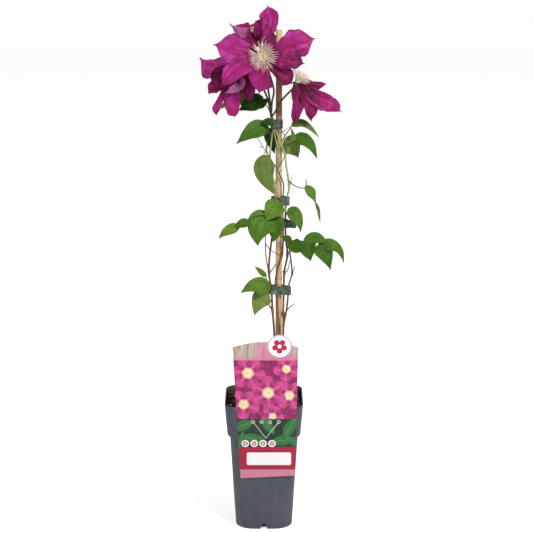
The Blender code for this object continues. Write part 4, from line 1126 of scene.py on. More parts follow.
def lay_rod(blank, points, thick, ribs=0.0, rib_count=6, tone=0.5):
    """Bends a copy of a rod blank along a path. thick is a radius, or a function of the share of the way."""
    rings = blank["rings"]
    path = smooth_path(points, rings)
    tangent = (path[1] - path[0]).normalized()
    side = tangent.orthogonal().normalized()
    frames = []
    for i, spot in enumerate(path):
        ahead = (path[min(i + 1, rings)] - path[max(i - 1, 0)]).normalized()
        side = (side - ahead * side.dot(ahead)).normalized()
        frames.append((spot, side.copy(), ahead.cross(side)))
    rod = own_copy(blank)
    along = rod.data.attributes.new("along", "FLOAT", "POINT")
    for i, vert in enumerate(rod.data.vertices):
        share = min(max(vert.co.z, 0.0), 1.0)
        spot, side, up = frames[round(share * rings)]
        radius = thick(share) if callable(thick) else thick
        if ribs:
            radius *= 1 + ribs * math.cos(rib_count * math.atan2(vert.co.y, vert.co.x))
        vert.co = (spot + (side * vert.co.x + up * vert.co.y) * radius) * MM
        along.data[i].value = share
    note(rod, tone=tone)
    return rod


def taper(first, last):
    """A radius that changes evenly from one end to the other."""
    return lambda share: first + (last - first) * share


stem_blank = rod_blank("stem_blank", 72, 12)
stalk_blank = rod_blank("stalk_blank", 22, 8)
print("rod blanks:", len(stem_blank.data.polygons), len(stalk_blank.data.polygons))

# %% [markdown]
# A blade blank starts as a flat grid. Each row is scaled to the outline of the leaf, so the lines of the UV
# map keep to that outline and meet at the tip, which is just how the veins of clematis leaves and sepals run.
# The rows are drawn together towards both ends, where the outline turns fastest.

# %% The blade blank
def curve_at(points, at):
    """Reads a smooth curve through (position, value) points."""
    for k in range(len(points) - 1):
        if at <= points[k + 1][0] or k == len(points) - 2:
            break
    (x0, y0), (x1, y1) = points[k], points[k + 1]
    before, after = points[max(k - 1, 0)], points[min(k + 2, len(points) - 1)]
    slope0 = (y1 - before[1]) / (x1 - before[0])
    slope1 = (after[1] - y0) / (after[0] - x0)
    t, h = (at - x0) / (x1 - x0), x1 - x0
    return max((2 * t ** 3 - 3 * t * t + 1) * y0 + (t ** 3 - 2 * t * t + t) * h * slope0
               + (3 * t * t - 2 * t ** 3) * y1 + (t ** 3 - t * t) * h * slope1, 0.01)


def blade_blank(name, outline, columns, rows):
    """A flat blade, one unit long and two units across where it is widest."""
    clear_selection()
    bpy.ops.mesh.primitive_grid_add(x_subdivisions=columns, y_subdivisions=rows, size=2.0, calc_uvs=True)
    blade = bpy.context.object
    blade.name = name
    bpy.ops.object.mode_set(mode="EDIT")
    bpy.ops.mesh.select_mode(type="VERT")
    for row in range(rows + 1):
        start = -1 + 2 * row / rows
        share = row / rows
        goal = 0.55 * share + 0.45 * (0.5 - 0.5 * math.cos(math.pi * share))
        select_points(blade, lambda co: abs(co.y - start) < 0.2 / rows and abs(co.z) < 0.001)
        width = curve_at(outline, goal)
        bpy.ops.transform.resize(value=(width, 1, 1), center_override=(0, 0, 0))
        bpy.ops.transform.translate(value=(0, goal - start, 3.0))
    bpy.ops.mesh.select_all(action="SELECT")
    bpy.ops.transform.translate(value=(0, 0, -3.0))
    bpy.ops.object.mode_set(mode="OBJECT")
    blade.data.uv_layers[0].name = "UVMap"
    return blade


LEAF = ((0, 0.05), (0.03, 0.36), (0.09, 0.66), (0.18, 0.9), (0.3, 1.0), (0.42, 0.97), (0.56, 0.82),
        (0.7, 0.6), (0.82, 0.37), (0.91, 0.18), (0.97, 0.07), (1, 0.02))
SEPAL = ((0, 0.2), (0.1, 0.27), (0.22, 0.46), (0.36, 0.73), (0.5, 0.93), (0.62, 1.0), (0.74, 0.93),
         (0.84, 0.68), (0.91, 0.38), (0.96, 0.15), (1, 0.03))
leaf_blank = blade_blank("leaf_blank", LEAF, 16, 22)
sepal_blank = blade_blank("sepal_blank", SEPAL, 24, 36)
print("blade blanks:", len(leaf_blank.data.polygons), len(sepal_blank.data.polygons))


# %% Lay a blade along its rib
STATIONS = (0.0, 0.12, 0.3, 0.5, 0.66, 0.8, 0.9, 0.95, 1.0)
CLAW_WIDTH, TIP_WIDTHS = 2.0, (1.0, 0.25)


def edge_curve(widths):
    """The distance from the rib to one edge, from its widths at six stations. The tip ends in a point."""
    return tuple(zip(STATIONS, (CLAW_WIDTH, *widths, *TIP_WIDTHS)))


def lay_blade(blank, outline, base, middle, tip, face, left, right, fold=0.2, arch=0.0, wave=0.0, waves=2.0,
              phase=0.0, curl=0.0, twist=0.0, ribs=0.0, crumple=0.0, ragged=0.0, heart=0.0, tone=0.5,
              depth=0.2):
    """Bends a copy of a blade blank along the rib from base to tip through the middle point.

    face is the way the upper side looks, and left and right are the edges' curves. fold lifts both edges,
    arch bulges the middle, wave ruffles the edges, curl bends the tip back and twist turns the blade along
    its rib. ribs raises soft lengthwise ribs, crumple dents the surface, ragged nibbles at the edges and
    heart draws the base into a heart shape. tone and depth are kept for the colours.
    """
    base, middle, tip, face = Vector(base), Vector(middle), Vector(tip), Vector(face).normalized()
    bend = middle * 2 - (base + tip) * 0.5
    length = (middle - base).length + (tip - middle).length
    width = max(value for _, value in left) + max(value for _, value in right)
    blade = own_copy(blank)
    rows = {}
    for vert in blade.data.vertices:
        x, t = vert.co.x, vert.co.y
        key = round(t, 5)
        if key not in rows:
            rib = base * (1 - t) ** 2 + bend * 2 * t * (1 - t) + tip * t * t
            ahead = ((bend - base) * (1 - t) + (tip - bend) * t).normalized()
            side = ahead.cross(face).normalized()
            out = side.cross(ahead)
            turn = twist * (t - 0.3)
            side, out = (side * math.cos(turn) + out * math.sin(turn),
                         out * math.cos(turn) - side * math.sin(turn))
            rows[key] = rib, ahead, side, out, curve_at(outline, t), curve_at(left, t), curve_at(right, t)
        rib, ahead, side, out, wide, to_left, to_right = rows[key]
        across = max(-1.0, min(1.0, x / wide))
        half = to_left if across < 0 else to_right
        if ragged:
            nibble = noise.noise(Vector((t * length / 4.5, math.copysign(3.0, across), phase * 7)))
            half *= 1 + ragged * nibble * abs(across) * math.sin(math.pi * t) ** 0.5
        lift = fold * half * across * across
        lift += arch * width * math.sin(math.pi * t) * (1 - across * across)
        ripple = math.sin(2 * math.pi * waves * t + phase + across)
        ripple += 0.5 * math.sin(2 * math.pi * waves * 2.3 * t + 2.1 * phase - 1.4 * across)
        lift += wave * width * across * across * ripple
        fading = math.sin(math.pi * min(t * 1.3, 1.0))
        lift += ribs * math.cos(3 * math.pi * across) * fading * min(half / 6, 1)
        if crumple:
            dent = noise.noise(Vector((t * length / 11, across * half / 7, phase * 5)))
            dent += 0.5 * noise.noise(Vector((t * length / 5, across * half / 3.2, phase * 9)))
            lift += crumple * dent * math.sin(math.pi * t) ** 0.5
        back = max(t - 0.72, 0.0)
        lift -= curl * length * back * back * 3.2
        drop = heart * width * across * across * (1 - t) ** 8
        vert.co = (rib + side * (half * across) + out * lift - ahead * drop) * MM
    note(blade, tone=tone, depth=depth)
    return blade


def thicken(obj, thickness):
    """Gives joined blades their thickness. The lower side takes the second material."""
    apply_modifier(obj, "SOLIDIFY", thickness=thickness * MM, offset=0.0, material_offset=1,
                   material_offset_rim=0)


print("blades can be laid")

# %% [markdown]
# ## Finishes of the plant
#
# Leaves are satin on top, dull and paler below, with pale arching veins and a netting between them that
# quilts the surface. Ripe clematis wood has a ribbed brown bark that peels in strips. Sepals have silky
# streaks along their length, painted partly as highlights on the ridges and shade in the valleys, and a
# deeper bar of colour in the middle, and their backs are a paler mauve. Light passes through all of the
# blades, so they get some subsurface scattering, set on the shader itself.

# %% Leaf finishes
def leaf_finish(name, dark, mid, light, vein, roughness, vein_share):
    """Three greens for the leaf's tone, veins along the blade and a netting between them."""
    leaf = Finish(name, roughness, 0.13, Subsurface_Weight=0.08, Subsurface_Scale=0.004,
                  Subsurface_Radius=(0.4, 1.0, 0.2))
    u, v, _ = leaf.parts(leaf.uv())
    where = leaf.place()
    side = leaf.maths("ABSOLUTE", leaf.maths("MULTIPLY_ADD", u, 2.0, -1.0))
    blotch = leaf.noise(where, 130.0, 3.0, 0.55)
    tone = leaf.weigh((leaf.own("tone"), 0.75), (blotch, 0.3))
    colour = leaf.ramp(tone, (0.15, dark), (0.5, mid), (0.85, light))
    middle = leaf.span(side, 0.045, 0.0)
    arcs = leaf.maths("MAXIMUM", leaf.span(leaf.distance(side, 0.42), 0.03, 0.0),
                      leaf.span(leaf.distance(side, 0.8), 0.025, 0.0, 0.0, 0.6))
    net = leaf.cells(leaf.on_blade(u, 5.0, v, 9.0), 1.7, feature="DISTANCE_TO_EDGE")
    lines = leaf.maths("MAXIMUM", middle, leaf.times(arcs, 0.7))
    lines = leaf.maths("MAXIMUM", lines, leaf.span(net, 0.09, 0.0, 0.0, 0.3))
    vein_colour = leaf.mix(leaf.span(tone, 0.3, 0.8), mid, vein)
    colour = leaf.mix(leaf.times(lines, vein_share), colour, vein_colour)
    height = leaf.minus(leaf.span(net, 0.0, 0.3), leaf.times(lines, 0.8))
    dull = leaf.span(blotch, 0.3, 0.7, roughness - 0.06, roughness + 0.1)
    return leaf.wear(Base_Color=colour, Roughness=dull, Normal=leaf.bump(height, 0.0004, 0.55))


leaf_top = leaf_finish("leaf_top", (0.006, 0.022, 0.002), (0.044, 0.112, 0.006), (0.15, 0.26, 0.022),
                       (0.36, 0.47, 0.18), 0.42, 0.5)
leaf_back = leaf_finish("leaf_back", (0.04, 0.072, 0.012), (0.105, 0.155, 0.03), (0.24, 0.3, 0.07),
                        (0.4, 0.47, 0.22), 0.6, 0.75)
print("leaf finishes:", leaf_top.name, leaf_back.name)

# %% [markdown]
# Stalks are green where the sap runs and purple-brown where they are old or near a bloom, so their tone is
# stored on each rod and moves the colour along one ramp. Under the blooms their darkness is partly painted
# shade. Bark takes the same kind of ramp, and its strips come from noise that is stretched along the stem.

# %% Stalk and bark finishes
stalk = Finish("green_stalk", 0.5, 0.4, Subsurface_Weight=0.06, Subsurface_Scale=0.003)
where = stalk.place()
patch = stalk.noise(where, 60.0, 3.0, 0.55)
streak = stalk.noise(stalk.stretched(where, (900, 900, 60)), 1.0, 3.0, 0.6)
tone = stalk.weigh((patch, 0.5), (streak, 0.35), (stalk.own("tone"), 0.3))
colour = stalk.ramp(tone, (0.4, (0.04, 0.016, 0.01)), (0.52, (0.045, 0.05, 0.014)),
                    (0.62, (0.12, 0.15, 0.035)), (0.74, (0.32, 0.35, 0.12)))
stalk_material = stalk.wear(Base_Color=colour, Normal=stalk.bump(streak, 0.0002, 0.6))

wood = Finish("ripe_bark", 0.62, 0.35)
where = wood.place()
strips = wood.noise(wood.stretched(where, (1100, 1100, 45)), 1.0, 4.0, 0.62)
patch = wood.noise(where, 55.0, 3.0, 0.6)
tone = wood.weigh((strips, 0.62), (patch, 0.38))
colour = wood.ramp(tone, (0.34, (0.026, 0.008, 0.004)), (0.47, (0.115, 0.038, 0.015)),
                   (0.6, (0.28, 0.11, 0.044)), (0.74, (0.48, 0.27, 0.14)))
bark_material = wood.wear(Base_Color=colour, Normal=wood.bump(strips, 0.0004, 0.8))
print("stem finishes:", stalk_material.name, bark_material.name)

# %% [markdown]
# A sepal's colour is built up like a dyed silk petal: fine streaks from base to tip, which are partly painted
# highlights on the ridges and painted shade in the valleys, a broad cloud, a redder bar in the middle that
# fades towards the tip, a dark throat near the disc that is partly painted shade where the sepals crowd,
# hairline veins and a dark edge that is painted shade where the edge rolls.

# %% Sepal finishes
def sepal_finish(name, deep, base, light, bar, vein_strength, roughness):
    """Three colours for the tone, streaks with painted highlights, a bar, a throat partly in painted shade,
    veins and a shaded edge.
    """
    sepal = Finish(name, roughness, 0.16, Sheen_Weight=0.05, Sheen_Roughness=0.4, Subsurface_Weight=0.1,
                   Subsurface_Scale=0.004, Subsurface_Radius=(1.0, 0.25, 0.6))
    u, v, _ = sepal.parts(sepal.uv())
    where = sepal.place()
    side = sepal.maths("ABSOLUTE", sepal.maths("MULTIPLY_ADD", u, 2.0, -1.0))
    # The streaks are partly the sepal's own colour and partly painted highlights on its ridges and painted
    # shade in its valleys.
    streak_place = sepal.on_blade(u, 26.0, v, 1.6, sepal.times(sepal.own("tone"), 40.0))
    streaks_and_highlights = sepal.noise(streak_place, 1.0, 3.0, 0.6)
    cloud = sepal.noise(where, 55.0, 3.0, 0.55)
    tone = sepal.weigh((streaks_and_highlights, 0.5), (cloud, 0.35), (sepal.own("tone"), 0.3))
    colour = sepal.ramp(tone, (0.36, deep), (0.56, base), (0.76, light))
    middle = sepal.span(side, 0.26, 0.03)
    colour = sepal.mix(sepal.times(middle, sepal.span(v, 1.0, 0.2, 0.15, 0.6)), colour, bar)
    # Near the disc, where the sepals crowd, the colour darkens: partly a deeper colour and partly painted
    # shade.
    near = sepal.span(sepal.minus(v, sepal.own("depth")), 0.12, -0.15, 0.0, 0.75)
    colour = sepal.mix(near, colour, deep)
    hair = sepal.noise(sepal.on_blade(u, 70.0, v, 3.0), 1.0, 2.0, 0.5)
    colour = sepal.mix(sepal.span(hair, 0.56, 0.7, 0.0, vein_strength), colour, deep)
    # Painted shade along the rolled edges.
    colour = sepal.mix(sepal.span(side, 0.86, 1.0, 0.0, 0.55), colour, deep)
    relief = sepal.plus(streaks_and_highlights, sepal.times(hair, 0.5))
    return sepal.wear(Base_Color=colour, Normal=sepal.bump(relief, 0.0005, 0.45),
                      Roughness=sepal.span(streaks_and_highlights, 0.3, 0.7, roughness - 0.08, roughness + 0.1))


sepal_face = sepal_finish("sepal_face", (0.055, 0.001, 0.014), (0.24, 0.006, 0.1), (0.47, 0.04, 0.28),
                          (0.27, 0.004, 0.075), 0.45, 0.5)
sepal_back = sepal_finish("sepal_back", (0.19, 0.012, 0.085), (0.42, 0.085, 0.26), (0.64, 0.28, 0.5),
                          (0.42, 0.12, 0.27), 0.5, 0.6)
print("sepal finishes:", sepal_face.name, sepal_back.name)

# %% [markdown]
# A stamen changes colour along its length: a cream filament, a band of rose in the anther, and pale pollen at
# the end. The share of the way along the rod is stored on its points, so one ramp paints them all.

# %% Stamen finish
silk = Finish("stamen_silk", 0.5, 0.35, Subsurface_Weight=0.12, Subsurface_Scale=0.003)
along = silk.own("along")
speck = silk.noise(silk.place(), 700.0, 2.0, 0.5)
colour = silk.ramp(along, (0.0, (0.74, 0.62, 0.42)), (0.5, (0.88, 0.8, 0.64)), (0.7, (0.88, 0.74, 0.62)),
                   (0.86, (0.62, 0.34, 0.34)), (1.0, (0.85, 0.74, 0.56)))
colour = silk.mix(silk.span(silk.own("tone"), 0.5, 1.0), colour, (0.86, 0.8, 0.55))
colour = silk.mix(silk.span(speck, 0.5, 0.75, 0, 0.3), colour, (0.5, 0.3, 0.2))
silk_material = silk.wear(Base_Color=colour)
print("stamen finish:", silk_material.name)

# %% [markdown]
# ## The woody stems
#
# The older growth is one grown piece: a crown in the mix, with three stems and a side branch that rise beside
# the cane and end where the green growth begins. Pruning has left short stubs, and old leaf stalks have left
# knuckles and thin twigs. A knuckle is only a local swelling, so the radius of the rod is a taper plus a bump
# at each knuckle.

# %% Lay the woody stems
def knuckled(first, last, knuckles, grow=0.7, spread=0.013):
    """A tapering radius that swells at each knuckle."""
    return lambda share: first + (last - first) * share + sum(
        grow * math.exp(-((share - at) / spread) ** 2) for at in knuckles)


CROWN = (20.0, -14.0, 176.0)
WOOD = (
    ([CROWN, (17, -11, 205), (14.5, -7, 277), (12, -6, 312), (11, -6, 333), (9.6, -6, 347), (7, -6.5, 366),
      (8, -7, 391), (10.6, -7, 411), (12.6, -7.2, 432), (12.6, -7.2, 452)],
     knuckled(1.7, 1.2, (0.2, 0.49, 0.69, 0.9))),
    ([CROWN, (21, -13, 215), (22, -9, 279), (19, -8, 312), (16.8, -7.4, 340), (16.4, -7, 357),
      (20, -7.4, 374), (25.4, -6.8, 393), (26.6, -6.4, 418), (26.4, -6.4, 444)],
     knuckled(1.6, 1.1, (0.3, 0.6, 0.8))),
    ([CROWN, (24, -11, 205), (27, -5, 276), (27, -5, 312), (27.6, -5, 338), (28.4, -4.6, 366),
      (32.6, -4, 390), (31, -4, 408), (29.8, -4.6, 426), (29.8, -4.6, 452)],
     knuckled(1.65, 1.2, (0.25, 0.47, 0.68, 0.78))),
    ([(27, -5, 288), (31, -5, 308), (33, -4.6, 324), (33.8, -4.6, 336), (34.6, -4.4, 347), (38.4, -4, 360),
      (39.4, -4, 366), (36.6, -4, 390), (34.2, -4, 410)], knuckled(1.3, 1.0, (0.02, 0.63), 0.6, 0.025)),
)
TWIGS = (
    ([(7, -6.5, 364), (4.2, -8, 380), (2.6, -8, 392), (2, -8, 409)], 1.0, 0.7),
    ([(28, -4.6, 304), (34, -7, 314), (43, -9, 322)], 1.0, 0.65),
    ([(7.4, -6.4, 364), (12, -8, 371), (17, -9, 379)], 1.0, 0.65),
    ([(28.4, -4.6, 364), (33, -5, 369), (36, -5, 382)], 0.85, 0.5),
    ([(12, -6, 311), (8, -7, 318), (6.5, -7, 323)], 1.3, 0.9),
    ([(39.4, -4, 366), (42, -4.6, 370), (42.6, -5, 375)], 0.8, 0.4),
    ([(32.6, -4, 390), (36, -5, 396), (37, -6, 402)], 0.7, 0.35),
    ([(26.6, -6.4, 418), (24, -8, 424), (23.6, -9, 429)], 0.7, 0.35),
)


def crown(share):
    """The thick foot that the stems rise from, with the rings of old cuts."""
    return 4.5 - 1.2 * share + 0.9 * math.sin(share * 9) ** 2


wood_rods = [lay_rod(stem_blank, points, thick, ribs=0.07) for points, thick in WOOD]
wood_rods += [lay_rod(stalk_blank, points, taper(first, last)) for points, first, last in TWIGS]
wood_rods.append(lay_rod(stem_blank, [(20, -14, 152), (20, -14, 170), (20.4, -14, 183)], crown, 0.09, 7))
STUBS = (([(20, -14, 178), (25, -16.5, 184), (27.5, -18, 191)], 1.8, 1.5),
         ([(20, -14, 178), (14.5, -16, 183), (12.5, -17.5, 188)], 1.6, 1.4))
wood_rods += [lay_rod(stalk_blank, points, taper(first, last)) for points, first, last in STUBS]
print("woody rods:", len(wood_rods))

# %% [markdown]
# Strips of peeling bark hang along the stems, and buds sit at the knuckles, some of them in pairs. A bud is a
# small ball drawn out to a blunt point: one is modelled from a sphere and copied.

# %% Buds and peeling bark
clear_selection()
bpy.ops.mesh.primitive_uv_sphere_add(segments=8, ring_count=6, radius=1.0)
bud_blank = bpy.context.object
bpy.ops.object.mode_set(mode="EDIT")
select_points(bud_blank, lambda co: co.z > 0.6)
bpy.ops.transform.resize(value=(0.6, 0.6, 1.0))
bpy.ops.transform.translate(value=(0, 0, 0.8))
bpy.ops.object.mode_set(mode="OBJECT")


def lay_bud(place, way, size):
    """Sets a copy of the bud on a stem, pointing a given way."""
    bud = own_copy(bud_blank)
    note(bud, along=0.5, tone=0.5)
    bud.data.transform(Matrix.Translation(Vector(place) * MM) @ towards(way) @ Matrix.Scale(size * MM, 4))
    return bud


BUDS = (((7, -6.5, 366), (-0.7, -0.2, 0.8)), ((8.6, -6.5, 366.5), (0.7, -0.3, 0.8)),
        ((28.4, -4.6, 366), (0.7, -0.2, 0.8)), ((27.2, -4.8, 366.4), (-0.7, -0.4, 0.7)),
        ((39.6, -4, 366.4), (0.6, -0.2, 0.9)), ((12, -6, 312.5), (0.7, -0.4, 0.8)),
        ((32.8, -4, 390.6), (0.8, -0.1, 0.7)), ((12.2, -7.4, 428), (-0.7, -0.4, 0.7)),
        ((13.4, -7.2, 428), (0.7, -0.4, 0.7)), ((30.4, -5, 432), (0.7, -0.3, 0.7)),
        ((26.6, -6.6, 420), (0.6, -0.5, 0.7)), ((17, -7.6, 338), (-0.6, -0.5, 0.7)))
wood_rods += [lay_bud(place, way, 1.15) for place, way in BUDS]
chance = random.Random(9)
for points, _ in WOOD[:3]:
    path = smooth_path(points, 30)
    for start in (5, 11, 18, 24):
        spots = [path[start + k] + Vector((chance.uniform(-1.6, 1.6), -1.2 - 0.6 * k % 2, 0))
                 for k in range(4)]
        wood_rods.append(lay_rod(stalk_blank, spots, taper(0.32, 0.16)))
for rod in wood_rods:
    coat(rod, bark_material)
wood_piece = join("woody_growth", wood_rods)
hand_in(wood_piece, "woody_stems", 60)

# %% [markdown]
# ## Leaves on the woody stems
#
# Each spray has one to six leaflets on its stalks. Clematis climbs with these stalks: they bend round
# whatever they touch. The leaflets hang from them at different angles, so each has its own rib, width,
# facing and tone. The tone is partly the leaf's own green and partly painted light and shade: leaves in
# shade get a low tone and lit ones a high tone.

# %% Leaf and spray
LEAF_THICK = 0.4


# A leaf's tone is partly its own green and partly painted light and shade.
def leaf(base, middle, tip, width, face, fold=0.2, wave=0.02, tone=0.5, curl=0.12, twist=0.15, phase=0.0):
    """One leaf, with the same width on both sides of its rib."""
    edge = tuple((at, value * width / 2) for at, value in LEAF)
    return lay_blade(leaf_blank, LEAF, base, middle, tip, face, edge, edge, fold=fold, arch=0.03, wave=wave,
                     waves=1.7, phase=phase, curl=curl, twist=twist, ribs=0.45, crumple=0.7, heart=0.07,
                     tone=tone)


def spray(name, stalks, leaves):
    """Joins leaflets, gives them their thickness and adds their stalks."""
    blades = join(name, leaves)
    coat(blades, leaf_top, leaf_back)
    thicken(blades, LEAF_THICK)
    for rod in stalks:
        coat(rod, stalk_material)
    return join(name, [blades] + stalks)


def stalk_rod(points, first=0.9, last=0.6, tone=0.5):
    """A thin rod that tapers, for leaf stalks and tendrils."""
    return lay_rod(stalk_blank, points, taper(first, last), tone=tone)


print("leaves of", LEAF_THICK, "mm can be laid")

# %% The left spray
left_spray = spray("leaves_left", [
    stalk_rod([(12.6, -8.0, 438), (11, -13, 444), (12, -17, 447)], 1.0, 0.8),
    stalk_rod([(11.4, -13, 443), (17, -14, 456), (21, -15, 466)]),
    stalk_rod([(11, -16.4, 445), (-5, -26.5, 453), (-20, -30, 446), (-24, -31, 438), (-34, -32.4, 435),
               (-43, -34, 433)], 0.9, 0.5),
    stalk_rod([(11.6, -14.6, 446), (11, -16.6, 449), (10.6, -18, 447)], 0.9, 0.6),
    stalk_rod([(11.8, -15.6, 447), (12.6, -17.4, 448.4), (12.6, -18, 446)], 0.8, 0.6),
    stalk_rod([(11, -14, 444), (4, -16, 430), (1.9, -14, 411.7), (5, -13, 404), (10.5, -11, 398),
               (16.8, -9, 393.4), (21, -6.5, 390.4)], 0.75, 0.6, 0.0),
], [
    leaf((21, -15, 466), (12, -21, 456), (3, -27, 442), 29, (-0.2, -1, 0.35), 0.15, tone=0.62, phase=1.0),
    leaf((10, -18, 447), (-6, -30, 434), (-8, -35, 410), 40, (-0.1, -1, 0.35), 0.12, 0.022, 0.5, phase=2.2),
    leaf((11.5, -17.5, 447), (15, -22, 431), (13, -25, 413), 27, (0.2, -1, 0.35), 0.15, tone=0.42),
    leaf((-20, -31, 440), (-31, -33, 440), (-41, -35, 433), 14, (-0.1, -0.9, 0.6), 0.2, tone=0.42, twist=0.3),
    leaf((-34, -33, 435), (-49, -35, 431), (-62, -37, 420), 16, (-0.3, -0.9, 0.5), 0.2, tone=0.66),
])
hand_in(left_spray, "leaf_spray_left", 60)

# %% The right spray and the leaf by the cane
right_leaf = spray("leaf_by_the_cane", [
    stalk_rod([(30.6, -5.2, 447), (33, -9, 452), (35, -10.6, 454)]),
], [
    leaf((33, -9.6, 454), (45, -13, 445), (51, -17, 425), 20, (0.2, -1, 0.4), tone=0.52),
])
hand_in(right_leaf, "leaf_right", 60)

right_spray = spray("leaves_right", [
    stalk_rod([(32.6, -4.8, 411), (38, -9, 408), (48, -12, 406), (59, -15, 405), (68, -18, 408),
               (78, -19, 404)], 1.0, 0.6),
], [
    leaf((37, -9, 410), (31, -13, 415), (24, -15, 419), 12, (0, -1, 0.6), tone=0.35),
    leaf((36, -9, 409), (49, -15, 405), (64, -14, 414), 21, (0.1, -1, 0.5), 0.25, tone=0.35, phase=0.7),
    leaf((62, -15, 409), (61, -19, 399), (65, -23, 386), 24, (-0.1, -1, 0.4), tone=0.36),
    leaf((59, -14, 404), (72, -18, 416), (89, -18, 408), 22, (0.2, -0.8, 0.8), 0.25, tone=0.5, phase=1.9),
    leaf((75, -19, 407), (84, -23, 396), (92, -28, 374), 26, (0.1, -1, 0.4), tone=0.38, phase=2.6),
    leaf((78, -18, 404), (98, -17, 404), (111, -22, 383), 20, (0.4, -0.8, 0.8), 0.25, tone=0.5, phase=0.3),
])
hand_in(right_spray, "leaf_spray_right", 60)

# %% The low leaves
low_pair = spray("leaves_low", [
    stalk_rod([(10.6, -6.6, 324), (6, -12, 332), (4, -14, 341)], 1.0, 0.6),
    stalk_rod([(4.6, -13, 337), (4.8, -13.4, 339), (5, -13.6, 336)], 0.7, 0.6),
], [
    leaf((6, -13, 341), (-11, -19, 350), (-32, -25, 341), 25, (-0.1, -1, 0.5), 0.15, tone=0.56, phase=1.2),
    leaf((5, -13, 338), (-6, -19, 328), (-13, -25, 309), 28, (0.3, 1, -0.3), 0.12, tone=0.55, phase=2.9),
])
hand_in(low_pair, "leaf_pair_low", 60)

small_leaf = spray("leaf_small", [
    stalk_rod([(8.6, -7.0, 350), (4, -11, 357), (2.6, -10.8, 362)]),
], [
    leaf((3, -10.6, 361), (-5, -12, 369), (-13, -12, 376), 8, (-0.2, -1, 0.3), 0.3, tone=0.6),
])
hand_in(small_leaf, "leaf_left_small", 60)
